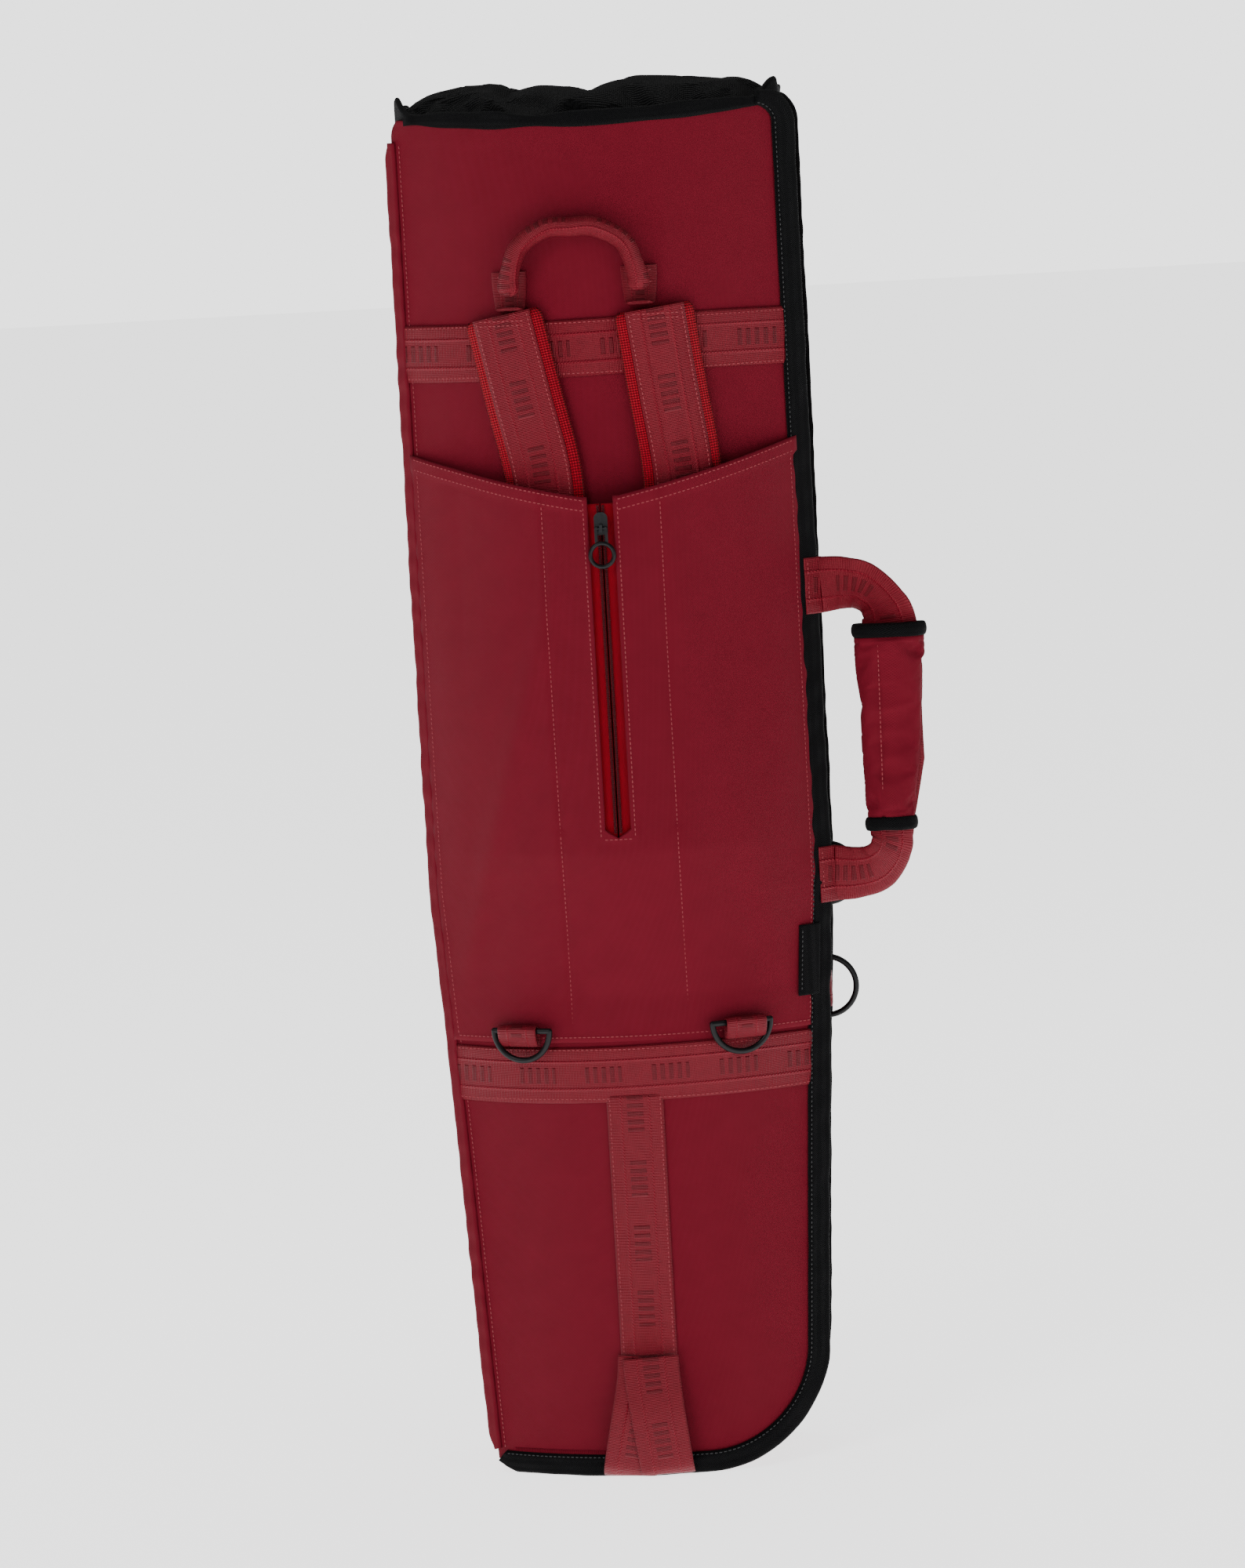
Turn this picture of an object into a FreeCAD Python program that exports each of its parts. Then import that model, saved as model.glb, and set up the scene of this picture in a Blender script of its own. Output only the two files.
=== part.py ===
"""Padded gig bag for a tenor trombone: two zipped half shells, a strap pocket, webbing, handles and D-rings.

Millimetres. +Z runs up the bag, the wearer's side faces -Y, and the carry handle is on the +X side.
The origin is on the floor, on the centreline, at the middle of the bottom grab strap's resting face.
"""

import FreeCAD
import Part
import math
import os

V = FreeCAD.Vector
UP = V(0, 0, 1)

# ---- Outline of the padded shells, seen from the wearer's side
HALF_WIDTH_FOOT = 109.0     # half the width at the slide end
HALF_WIDTH_BELL = 130.0     # half the width from the knee up
KNEE_Z = 400.0              # where the sides stop tapering
KNEE_R = 1500.0
SEAM_FIN = 9.0              # how far the black bound seam stands out
SHELL_FOOT_Z = SEAM_FIN     # the shell's underside stands on the bound seam
FOOT_CORNER_R = 70.0        # the zipper side's rounded bottom corner
TOP_CORNER_R = 18.0
DOME_TOP_Z = 925.0
SHELL_TOP_Z = DOME_TOP_Z + 5.0
DOME_R = 400.0

# ---- Depth: both faces are curved sheets
BACK_Y = -26.0              # crest of the wearer's side
FACE_R = 225.0              # radius of the back and the front face
FOOT_DEPTH = 130.0
BELL_DEPTH = 205.0
LID_DEPTH = 76.0            # from the front crest to the zipper's plane

# ---- Cloth, foam and webbing
FABRIC_T = 0.9
FOAM_T = 8.0
LINING_T = 0.6
WALL_T = FABRIC_T + FOAM_T + LINING_T
MESH_T = 3.0
FIN_T = 3.2                 # bound seams: cloth, piping and tape together
RIM_NEAR = 2.0              # the cap's bound rim stands between these two insets
RIM_FAR = 6.0
WEB_W = 38.0
WEB_T = 1.6
CLEAR = 0.3                 # running gap between pieces that move or only touch

# ---- Main zipper
TAPE_W = 8.0
TAPE_T = 0.8
CHAIN_W = 2.6
CHAIN_H = 2.0
CHAIN_GAP = 0.8             # half the groove that the slider's post runs in
FOAM_BACK = 9.0             # foam and lining stop this far from the zipper's plane
HINGE_SIDE_X = -100.0       # left of this the two halves meet as plain cloth
HINGE_GAP = 0.4
SLIDER_W = 9.0
SLIDER_L = 15.0
SLIDER_PLATE = 1.1
SLIDER_HEEL_R = 2.5
SLIDER_NOSE_R = 4.0
POST_L = 4.0
POST_FROM_NOSE = 1.0
BAIL_FROM_END = 4.5         # the pull's pin from the slider's heel
BAIL_W = 2.0
BAIL_L = 5.0
BAIL_H = 3.3
BAIL_EYE_R = 1.2
SUNK = 0.1                  # how far a post or a bail runs into its plate
PIVOT_PROUD = 1.7           # how far the pull's pin is above the slider's plate
UPPER_SLIDER_Z = 650.0
LOWER_SLIDER_Z = 606.0

# ---- Zipper pulls
PULL_RING_R = 7.8
PULL_WIRE_R = 1.4
PULL_LINK_L = 9.0
PULL_LINK_W = 4.4
PULL_LINK_T = 1.6
PULL_LINK_BAR = 2.0         # width of the link's frame
PULL_LINK_OVER = 1.1        # how far its arms pass the pin
PULL_PIN_R = 0.9
PULL_PIN_SHORT = 1.0        # the pin stops this far inside the arms

# ---- Webbing bands on the wearer's side
UPPER_BAND_Z = 747.0
LOWER_BAND_Z = 259.0
BAR_TACK_Z = 79.0

# ---- Strap pocket
POCKET_T = 2.0
POCKET_GAP = 15.0
POCKET_FOOT_Z = LOWER_BAND_Z + WEB_W + 3.0
POCKET_FLAT_Z = 330.0
POCKET_FULL_Z = 430.0
POCKET_SIDE_TOP_Z = 698.0
POCKET_NOTCH_Z = 668.0
NOTCH_FLAT = 4.0            # the mouth is level this far beside the slot
POCKET_EDGE = 1.5
POCKET_FOOT_GAP = 0.4       # under the panel's sewn foot, and at its flat height
POCKET_FLAT_GAP = 0.8
SLOT_W = 17.0
SLOT_FOOT_Z = 442.0
MOUTH_PAST = 10.0           # the mouth's line is drawn this far past the sides,
MOUTH_RISE = 4.0            # and this far above their tops there
TAPE_UNDER = 6.0            # how far the zipper's tapes run under the panel
POCKET_TAPE_W = 12.0
POCKET_SLIDER_Z = 650.0

# ---- D-rings
RING_R = 20.2               # wire's centre line
RING_WIRE_R = 2.0
RING_TAB_W = 34.0
RING_TAB_LEAF = 8.0
RING_STAND_OFF = 7.0
BACK_RING_X = 72.0
BACK_RING_Z = 309.0
SIDE_RINGS = {"upper": 398.0, "lower": 320.0}    # centre heights
SIDE_RING_OUT = 5.0         # how far the bar stands off the gusset
SIDE_RING_Y = 44.0
SIDE_TAB_SEWN = 4.0          # how far the folded tab runs into the gusset's seam

# ---- Carry handle on the zipper side
HANDLE_LOW_Z = 401.0
HANDLE_HIGH_Z = 597.0
HANDLE_OFF_FIN = 1.5         # the handle's fold stands this far off the bound seam
HANDLE_REACH = 64.0
HANDLE_T = 2.4
HANDLE_CORNER_R = 30.0
HANDLE_INNER_R = 8.0
GRIP_SIDE = 4.0             # padding beyond each edge of the webbing
GRIP_W = WEB_W + 2 * GRIP_SIDE
GRIP_D = 17.0
GRIP_END_GAP = 1.0          # between the grip and the webbing's inner corners
GRIP_L = HANDLE_HIGH_Z - HANDLE_LOW_Z - WEB_W - 2 * (HANDLE_INNER_R + GRIP_END_GAP)
GRIP_R = 7.0
GRIP_END_L = 9.0
GRIP_END_PROUD = 1.2
TAB_REACH = 11.5

# ---- Rolled grab handle, just above the tops of the shoulder straps
STRAP_OVER_BAND = 5.0        # how far the strap tops rise above the upper band
STRAP_TOP_Z = UPPER_BAND_Z + WEB_W + STRAP_OVER_BAND
ROLL_R = 7.0
ROLL_X = -10.0
ROLL_HALF_W = 43.0
ROLL_OVER_STRAPS = 12.0
ROLL_FOOT_Z = STRAP_TOP_Z + ROLL_OVER_STRAPS
ROLL_LEG = 13.0
ROLL_CORNER_R = 31.0
ROLL_Y = BACK_Y - 10.5
ROLL_CORE_R = 3.0
ROLL_TAB_T = 4.0

# ---- Shoulder straps: x at the top and at the pocket, and their heights
STRAPS = {"left": (-58.0, -36.0), "right": (40.0, 54.0)}
STRAP_BEND_Z = 679.0
STRAP_FOOT_Z = 470.0
PAD_W = 52.0
PAD_T = 7.0
TAIL_FOOT_Z = 424.0
TAIL_LIFT = 1.0              # the tail lies this far above the pad's back
PAD_LIFT = 0.1               # the pads lie on the upper band
PAD_FOOT_R = 8.0
PAD_BEND_R = 60.0
PAD_TOP_R = 4.0
WEB_FOOT_UP = 6.0            # the webbing on a pad starts this far above its foot
LOCK_UP = 8.0                # the buckle is this far up the tail
LOCK_H = 26.0
LOCK_T = 4.0
LOCK_R = 4.0
LOCK_BAR = 5.0
LOCK_SLOT_H = 6.0
LOCK_SLOT_PITCH = 9.5
LOCK_SLOT_SIDE = 3.0         # slot beyond each edge of the tail
HOOK_W = 22.0
HOOK_H = 34.0
HOOK_T = 4.0
HOOK_BAR = 5.0
HOOK_EYE_H = 15.0            # solid shank above the hook's mouth
HOOK_GATE_Z = 20.0           # the gate's opening, measured down from the top
HOOK_GATE_H = 4.0
HOOK_BOW_R = 9.0
HOOK_SHANK_R = 3.0
HOOK_MOUTH_R = 5.0
HOOK_MOUTH_TOP_R = 2.0
HOOK_STAND_OFF = 2.5

# ---- Bottom grab strap and label
GRAB_T = 2.0
GRAB_STAND_OFF = 6.0         # room for fingers behind it
GRAB_TOP_W = 38.0            # at the bar tack
GRAB_FOOT_W = 62.0           # where its two legs have spread, at the floor
GRAB_FLAT_END_Y = 12.0
GRAB_DROP = 30.0             # it stands off fully this far below the bar tack
GRAB_OVER = 8.0              # it is sewn down from this far above the tack to this far below
GRAB_UNDER = 4.0
LABEL_W = 14.0
LABEL_H = 48.0
LABEL_Z = 321.0
LABEL_LIFT = 4.2             # it lies over the pocket panel's edge
LABEL_T = 0.6

FAR = DOME_TOP_Z / 2           # cutting boxes and rollers reach well past the bag
FACE_AXIS_Y = BACK_Y + FACE_R
AXIS_MARGIN = 60.0           # pieces laid on the back face end this far before its axis
FRONT_FOOT_Y = BACK_Y + FOOT_DEPTH
FRONT_TOP_Y = BACK_Y + BELL_DEPTH
LEAN = math.atan2(FRONT_TOP_Y - FRONT_FOOT_Y, DOME_TOP_Z - SHELL_FOOT_Z)
LEAN_DIR = V(0, math.sin(LEAN), math.cos(LEAN))
SPLIT_FOOT_Y = FRONT_FOOT_Y - LID_DEPTH
DOME_Y = BACK_Y + BELL_DEPTH / 2 - 12.0


def half_width(z):
    """Half the shell's width at a height, with the knee taken as sharp."""
    share = min(1.0, max(0.0, (z - SHELL_FOOT_Z) / (KNEE_Z - SHELL_FOOT_Z)))
    return HALF_WIDTH_FOOT + share * (HALF_WIDTH_BELL - HALF_WIDTH_FOOT)


def split_y(z):
    """Where the zipper's plane is at a height."""
    return SPLIT_FOOT_Y + (z - SHELL_FOOT_Z) * math.tan(LEAN)


def sag(x, radius):
    """How far an arc of that radius has fallen away from its crest at x."""
    return radius - math.sqrt(radius * radius - x * x)


# ------------------------------------------------------------------ outlines
def inset_points(points, inset):
    """A counter-clockwise polygon moved inwards; a negative inset moves it outwards."""
    lines = []
    for i, (x0, z0) in enumerate(points):
        x1, z1 = points[(i + 1) % len(points)]
        length = math.hypot(x1 - x0, z1 - z0)
        nx, nz = -(z1 - z0) / length, (x1 - x0) / length
        lines.append((nx, nz, nx * x0 + nz * z0 + inset))
    moved = []
    for i in range(len(points)):
        (a1, b1, c1), (a2, b2, c2) = lines[i - 1], lines[i]
        det = a1 * b2 - a2 * b1
        moved.append(((c1 * b2 - c2 * b1) / det, (a1 * c2 - a2 * c1) / det))
    return moved


def rounded_wire(points, radii, y=0.0):
    """A closed wire in the XZ plane at y, each corner rounded with its own radius."""
    corners = []
    for i, (x, z) in enumerate(points):
        here = V(x, y, z)
        before = V(points[i - 1][0], y, points[i - 1][1]) - here
        after = V(points[(i + 1) % len(points)][0], y, points[(i + 1) % len(points)][1]) - here
        before.normalize()
        after.normalize()
        if radii[i] <= 0:
            corners.append((here, None, here))
            continue
        half = before.getAngle(after) / 2
        cut = radii[i] / math.tan(half)
        middle = (before + after).normalize()
        tip = here + middle * (radii[i] / math.sin(half) - radii[i])
        corners.append((here + before * cut, tip, here + after * cut))
    edges = []
    for i, (start, tip, end) in enumerate(corners):
        if tip is not None:
            edges.append(Part.Arc(start, tip, end).toShape())
        following = corners[(i + 1) % len(corners)][0]
        if (following - end).Length > 1e-6:
            edges.append(Part.LineSegment(end, following).toShape())
    return Part.Wire(edges)


def block(points, radii=None, y0=-FAR, y1=FAR):
    """A solid with that outline in XZ, from y0 to y1."""
    wire = rounded_wire(points, radii or [0] * len(points), y0)
    return Part.Face(wire).extrude(V(0, y1 - y0, 0))


def rectangle(x0, x1, z0, z1):
    return [(x0, z0), (x1, z0), (x1, z1), (x0, z1)]


def prism(inset, top=SHELL_TOP_Z, rounded_top=True):
    """The bag's outline, moved inwards, as a bar along Y."""
    points = inset_points([
        (-HALF_WIDTH_FOOT, SHELL_FOOT_Z),
        (HALF_WIDTH_FOOT, SHELL_FOOT_Z),
        (HALF_WIDTH_BELL, KNEE_Z),
        (HALF_WIDTH_BELL, top),
        (-HALF_WIDTH_BELL, top),
        (-HALF_WIDTH_BELL, KNEE_Z),
    ], inset)
    top_r = TOP_CORNER_R - inset if rounded_top else 0
    radii = [0, FOOT_CORNER_R - inset, KNEE_R - inset, top_r, top_r, KNEE_R - inset]
    return block(points, radii)


def tall_prism(inset):
    """The same outline with no top, for cutting through everything above."""
    return prism(inset, SHELL_TOP_Z + 100, False)


# ------------------------------------------------------------------ faces
def back_roll(inset):
    """Everything in front of the curved back face, moved inwards."""
    return Part.makeCylinder(FACE_R - inset, 3 * FAR, V(0, FACE_AXIS_Y, -FAR / 2), UP)


def front_roll(inset):
    """Everything behind the curved, leaning front face, moved inwards."""
    foot = V(0, FRONT_FOOT_Y, SHELL_FOOT_Z) - V(0, math.cos(LEAN), -math.sin(LEAN)) * FACE_R
    return Part.makeCylinder(FACE_R - inset, 4 * FAR, foot - LEAN_DIR * FAR, LEAN_DIR)


def dome_roll(inset):
    """Everything under the top's low dome, moved inwards."""
    axis = V(-FAR, DOME_Y, DOME_TOP_Z - DOME_R)
    dome = Part.makeCylinder(DOME_R - inset, 2 * FAR, axis, V(1, 0, 0))
    below = Part.makeBox(2 * FAR, 2 * FAR, DOME_TOP_Z - DOME_R + FAR, V(-FAR, DOME_Y - FAR, -FAR))
    return dome.fuse(below)


def beyond_split(offset, left=None):
    """The half space in front of the zipper's plane, moved along Y; left keeps only x beyond that."""
    x0 = -FAR if left is None else left
    box = Part.makeBox(FAR - x0, 3 * FAR, 4 * FAR, V(x0, 0, -FAR))
    box.rotate(V(0, 0, 0), V(1, 0, 0), -math.degrees(LEAN))
    box.translate(V(0, split_y(0) + offset, 0))
    return box


def zipped(shape, offset, lid=False):
    """The part of a wall on one side of the zipper's plane, set back by offset except at the hinge."""
    if lid:
        hinge_side = beyond_split(HINGE_GAP).cut(beyond_split(-FAR, HINGE_SIDE_X))
        return shape.common(hinge_side.fuse(beyond_split(offset, HINGE_SIDE_X)))
    return shape.cut(beyond_split(-HINGE_GAP)).cut(beyond_split(-offset, HINGE_SIDE_X))


def body_layer(outer, inner):
    """A closed shell between two insets of the outline and the dome."""
    hollow = prism(inner).common(dome_roll(inner))
    return prism(outer).common(dome_roll(outer)).cut(hollow)


def back_layer(near, far):
    """A curved sheet of the wearer's side between two insets."""
    sheet = back_roll(near).cut(back_roll(far))
    return prism(0).common(dome_roll(0)).common(sheet).common(behind_axis())


def behind_axis():
    """The half space on the wearer's side, where the back roll's near wall is."""
    return Part.makeBox(2 * FAR, FAR, 4 * FAR, V(-FAR, FACE_AXIS_Y - AXIS_MARGIN - FAR, -FAR))


def front_layer(near, far):
    """A curved sheet of the front between two insets."""
    sheet = front_roll(near).cut(front_roll(far))
    return prism(0).common(dome_roll(0)).common(sheet).common(beyond_split(1))


def on_back(points, near, far, radii=None):
    """A flat piece of cloth laid on the back face: its outline in XZ, between two heights above the face."""
    sheet = back_roll(-far).cut(back_roll(-near))
    return block(points, radii, BACK_Y - AXIS_MARGIN, FACE_AXIS_Y - AXIS_MARGIN).common(sheet)


def face_frame(shape, x, z, stand_off=0.0):
    """Moves a piece made at the origin, facing -Y, onto the back face at x and z."""
    turn = math.asin(x / FACE_R)
    reach = FACE_R + stand_off
    moved = shape.copy()
    moved.rotate(V(0, 0, 0), UP, math.degrees(turn))
    moved.translate(V(reach * math.sin(turn), FACE_AXIS_Y - reach * math.cos(turn), z))
    return moved


# ------------------------------------------------------------------ shells
def shells():
    """Both half shells: outer fabric, foam and lining, each as a face and a gusset."""
    made = {}
    layers = {"fabric": (0, FABRIC_T), "foam": (FABRIC_T, FABRIC_T + FOAM_T),
              "lining": (FABRIC_T + FOAM_T, WALL_T)}
    inside_back, inside_front = back_roll(WALL_T), front_roll(WALL_T)
    under_dome = dome_roll(0)
    for name, (near, far) in layers.items():
        set_back = TAPE_W if name == "fabric" else FOAM_BACK
        made["back_panel_" + name] = back_layer(near, far)
        made["lid_panel_" + name] = front_layer(near, far)
        ring = prism(near).cut(tall_prism(far)).common(under_dome).common(inside_back)
        made["back_gusset_" + name] = zipped(ring, set_back)
        ring = body_layer(near, far).common(inside_front)
        made["lid_gusset_" + name] = zipped(ring, set_back, lid=True)
    for half in ("back", "lid"):
        panel, gusset = made.pop(half + "_panel_lining"), made.pop(half + "_gusset_lining")
        made[half + "_lining"] = panel.fuse(gusset).removeSplitter()
    return made


def bindings():
    """The black bound seams of both halves, the folded seam on the hinge side and the cap's bound rim."""
    outline = prism(0)
    right_and_foot = Part.makeBox(2 * FAR, 2 * FAR, DOME_TOP_Z + FAR, V(-HALF_WIDTH_FOOT, -FAR, -FAR))
    fin = prism(-SEAM_FIN).cut(outline).common(right_and_foot)
    above_floor = Part.makeBox(2 * FAR, 2 * FAR, 2 * FAR + DOME_TOP_Z, V(-FAR, -FAR, 0))
    fin = fin.common(above_floor).common(dome_roll(0))
    back_fin = fin.common(back_roll(0).cut(back_roll(FIN_T))).common(behind_axis())
    way_w = GRAB_FOOT_W + 2 * CLEAR
    strap_way = Part.makeBox(way_w, FAR, GRAB_T + CLEAR, V(-way_w / 2, -FAR, 0))
    front_fin = fin.common(front_roll(0).cut(front_roll(FIN_T))).common(beyond_split(1))

    fold = prism(-SEAM_FIN / 2).cut(tall_prism(0)).common(dome_roll(0))
    fold = fold.common(Part.makeBox(FAR, 2 * FAR, DOME_TOP_Z, V(-HALF_WIDTH_FOOT - FAR, -FAR, SHELL_FOOT_Z)))
    fold = fold.common(back_roll(0).cut(back_roll(FIN_T))).common(behind_axis())

    rim_sides = tall_prism(RIM_NEAR).cut(tall_prism(RIM_FAR)).common(back_roll(RIM_NEAR))
    rim_back = tall_prism(RIM_NEAR).common(back_roll(RIM_NEAR).cut(back_roll(RIM_FAR)))
    rim_wall = rim_sides.fuse(rim_back.common(behind_axis()))
    rim = rim_wall.common(dome_roll(-SEAM_FIN)).cut(dome_roll(0)).cut(beyond_split(-FOAM_BACK))
    return {
        "back_binding": back_fin.cut(strap_way),
        "lid_binding": front_fin,
        "hinge_side_fold": fold,
        "cap_binding": rim.removeSplitter(),
    }


def top_cap():
    """The airy mesh end over the bell, between the back half's walls."""
    plan = tall_prism(WALL_T).common(back_roll(WALL_T)).cut(beyond_split(-TAPE_W))
    return plan.common(dome_roll(0).cut(dome_roll(MESH_T)))


# ------------------------------------------------------------------ main zipper
def main_zipper():
    """Tape and chain of each half, round the foot, the right side and the top."""
    keep = beyond_split(-2 * TAPE_W, HINGE_SIDE_X).cut(beyond_split(2 * TAPE_W, HINGE_SIDE_X))
    tape = body_layer(0, TAPE_T).common(keep)
    chain = body_layer(-CHAIN_H, 0).common(keep)
    made = {}
    near, far = CHAIN_GAP, CHAIN_GAP + CHAIN_W
    made["main_tape_back"] = tape.common(beyond_split(-TAPE_W)).cut(beyond_split(-near))
    made["main_tape_lid"] = tape.common(beyond_split(near)).cut(beyond_split(TAPE_W))
    made["main_chain_back"] = chain.common(beyond_split(-far)).cut(beyond_split(-near))
    made["main_chain_lid"] = chain.common(beyond_split(near)).cut(beyond_split(far))
    return made


def slider_body(under, over):
    """A slider made at the origin, facing -Y: two plates that straddle the tapes, a post and a bail."""
    half_w, half_l = SLIDER_W / 2, SLIDER_L / 2
    outline = rectangle(-half_w, half_w, -half_l, half_l)
    corners = [SLIDER_HEEL_R, SLIDER_HEEL_R, SLIDER_NOSE_R, SLIDER_NOSE_R]
    face = block(outline, corners, -over - SLIDER_PLATE, -over)
    heel = block(outline, corners, under, under + SLIDER_PLATE)
    post_half = CHAIN_GAP - CLEAR
    post = Part.makeBox(2 * post_half, over + under + 4 * SUNK, POST_L,
                        V(-post_half, -over - 2 * SUNK, half_l - POST_FROM_NOSE - POST_L))
    top = -over - SLIDER_PLATE
    eye_z = -half_l + BAIL_FROM_END
    bail = Part.makeBox(BAIL_W, BAIL_H + SUNK, BAIL_L, V(-BAIL_W / 2, top - BAIL_H, eye_z - BAIL_L / 2))
    eye = Part.makeCylinder(BAIL_EYE_R, 2 * BAIL_W, V(-BAIL_W, top - PIVOT_PROUD, eye_z), V(1, 0, 0))
    return face.fuse([heel, post, bail.cut(eye)]).removeSplitter()


def zipper_pull(over):
    """A link and the ring on it, hanging from the slider's bail."""
    pivot_y = -over - SLIDER_PLATE - PIVOT_PROUD
    pivot_z = -SLIDER_L / 2 + BAIL_FROM_END
    bar_z = pivot_z - PULL_LINK_L
    y0 = pivot_y - PULL_LINK_T / 2
    top_z = pivot_z + PULL_LINK_OVER
    outer = block(rectangle(-PULL_LINK_W, PULL_LINK_W, bar_z - PULL_LINK_BAR, top_z),
                  [PULL_LINK_BAR] * 4, y0, y0 + PULL_LINK_T)
    hole_half = PULL_LINK_W - PULL_LINK_BAR
    hole = block(rectangle(-hole_half, hole_half, bar_z, top_z + PULL_LINK_BAR))
    pin_half = PULL_LINK_W - PULL_PIN_SHORT
    pin = Part.makeCylinder(PULL_PIN_R, 2 * pin_half, V(-pin_half, pivot_y, pivot_z), V(1, 0, 0))
    link = outer.cut(hole).fuse(pin).removeSplitter()
    ring_z = bar_z - PULL_LINK_BAR - PULL_RING_R + PULL_WIRE_R - CLEAR
    ring = Part.makeTorus(PULL_RING_R, PULL_WIRE_R, V(0, pivot_y, ring_z), V(0, 1, 0))
    grip_gap = Part.makeTorus(PULL_RING_R, PULL_WIRE_R + CLEAR, V(0, pivot_y, ring_z), V(0, 1, 0))
    return Part.makeCompound([link.cut(grip_gap), ring])


def main_sliders():
    """Two sliders on the straight run of the right side, each with its pull."""
    made = {}
    for name, z, turn in (("upper", UPPER_SLIDER_Z, 180), ("lower", LOWER_SLIDER_Z, 0)):
        under, over = TAPE_T + CLEAR, CHAIN_H + CLEAR
        slider = slider_body(under, over)
        slider.rotate(V(0, 0, 0), V(0, 1, 0), turn)
        pull = zipper_pull(over)
        if turn:
            pull.translate(V(0, 0, SLIDER_L - 2 * BAIL_FROM_END))
        for label, shape in (("slider", slider), ("pull", pull)):
            shape.rotate(V(0, 0, 0), UP, 90)
            shape.rotate(V(0, 0, 0), V(1, 0, 0), -math.degrees(LEAN))
            shape.translate(V(HALF_WIDTH_BELL, split_y(z), z))
            made[f"main_{label}_{name}"] = shape
    return made


# ------------------------------------------------------------------ pocket
def pocket_gap(z):
    """How far the pocket panel stands off the back face at its crest."""
    steps = [(POCKET_FOOT_Z, POCKET_FOOT_GAP), (POCKET_FLAT_Z, POCKET_FLAT_GAP),
             (POCKET_FULL_Z, POCKET_GAP), (SHELL_TOP_Z, POCKET_GAP)]
    for (z0, g0), (z1, g1) in zip(steps, steps[1:]):
        if z <= z1:
            return g0 + (g1 - g0) * (z - z0) / (z1 - z0)
    return POCKET_GAP


def pocket_sheet(near, far):
    """A sheet parallel to the pocket panel, between two heights above its inner side."""
    wires = []
    for z in (POCKET_FOOT_Z, POCKET_FLAT_Z, KNEE_Z, POCKET_FULL_Z, POCKET_SIDE_TOP_Z + 15):
        x = half_width(z) - POCKET_EDGE
        edge_y = BACK_Y + sag(x, FACE_R) - CLEAR
        crest_y = BACK_Y - pocket_gap(z)
        outer = Part.Arc(V(-x, edge_y - far, z), V(0, crest_y - far, z), V(x, edge_y - far, z)).toShape()
        inner = Part.Arc(V(x, edge_y - near, z), V(0, crest_y - near, z), V(-x, edge_y - near, z)).toShape()
        right = Part.LineSegment(V(x, edge_y - far, z), V(x, edge_y - near, z)).toShape()
        left = Part.LineSegment(V(-x, edge_y - near, z), V(-x, edge_y - far, z)).toShape()
        wires.append(Part.Wire([outer, right, inner, left]))
    return Part.makeLoft(wires, True, True)


def pocket():
    """The pocket's panel with its V mouth and slot, its zipper, and the slider with its pull."""
    far_x = HALF_WIDTH_BELL + MOUTH_PAST
    side_z = POCKET_SIDE_TOP_Z + MOUTH_RISE
    notch_x = SLOT_W / 2 + NOTCH_FLAT
    mouth = [(-far_x, POCKET_FOOT_Z - 5), (far_x, POCKET_FOOT_Z - 5), (far_x, side_z),
             (notch_x, POCKET_NOTCH_Z), (-notch_x, POCKET_NOTCH_Z),
             (-far_x, side_z)]
    slot = block(rectangle(-SLOT_W / 2, SLOT_W / 2, SLOT_FOOT_Z, SHELL_TOP_Z))
    made = {"pocket_panel": pocket_sheet(0, POCKET_T).common(block(mouth)).cut(slot)}
    tape_top = POCKET_NOTCH_Z - TAPE_UNDER
    for name, sign in (("left", -1), ("right", 1)):
        inner, outer = sign * CHAIN_GAP, sign * POCKET_TAPE_W
        strip = block(rectangle(min(inner, outer), max(inner, outer), SLOT_FOOT_Z - TAPE_UNDER, tape_top))
        tape = pocket_sheet(-TAPE_T, 0).common(strip)
        outer = sign * (CHAIN_GAP + CHAIN_W)
        strip = block(rectangle(min(inner, outer), max(inner, outer), SLOT_FOOT_Z + 1, tape_top))
        made["pocket_zip_" + name] = Part.makeCompound([tape, pocket_sheet(0, CHAIN_H).common(strip)])
    under, over = TAPE_T + CLEAR, CHAIN_H + CLEAR
    place = V(0, BACK_Y - POCKET_GAP, POCKET_SLIDER_Z)
    for name, shape in (("pocket_slider", slider_body(under, over)), ("pocket_pull", zipper_pull(over))):
        shape.translate(place)
        made[name] = shape
    return made


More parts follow.
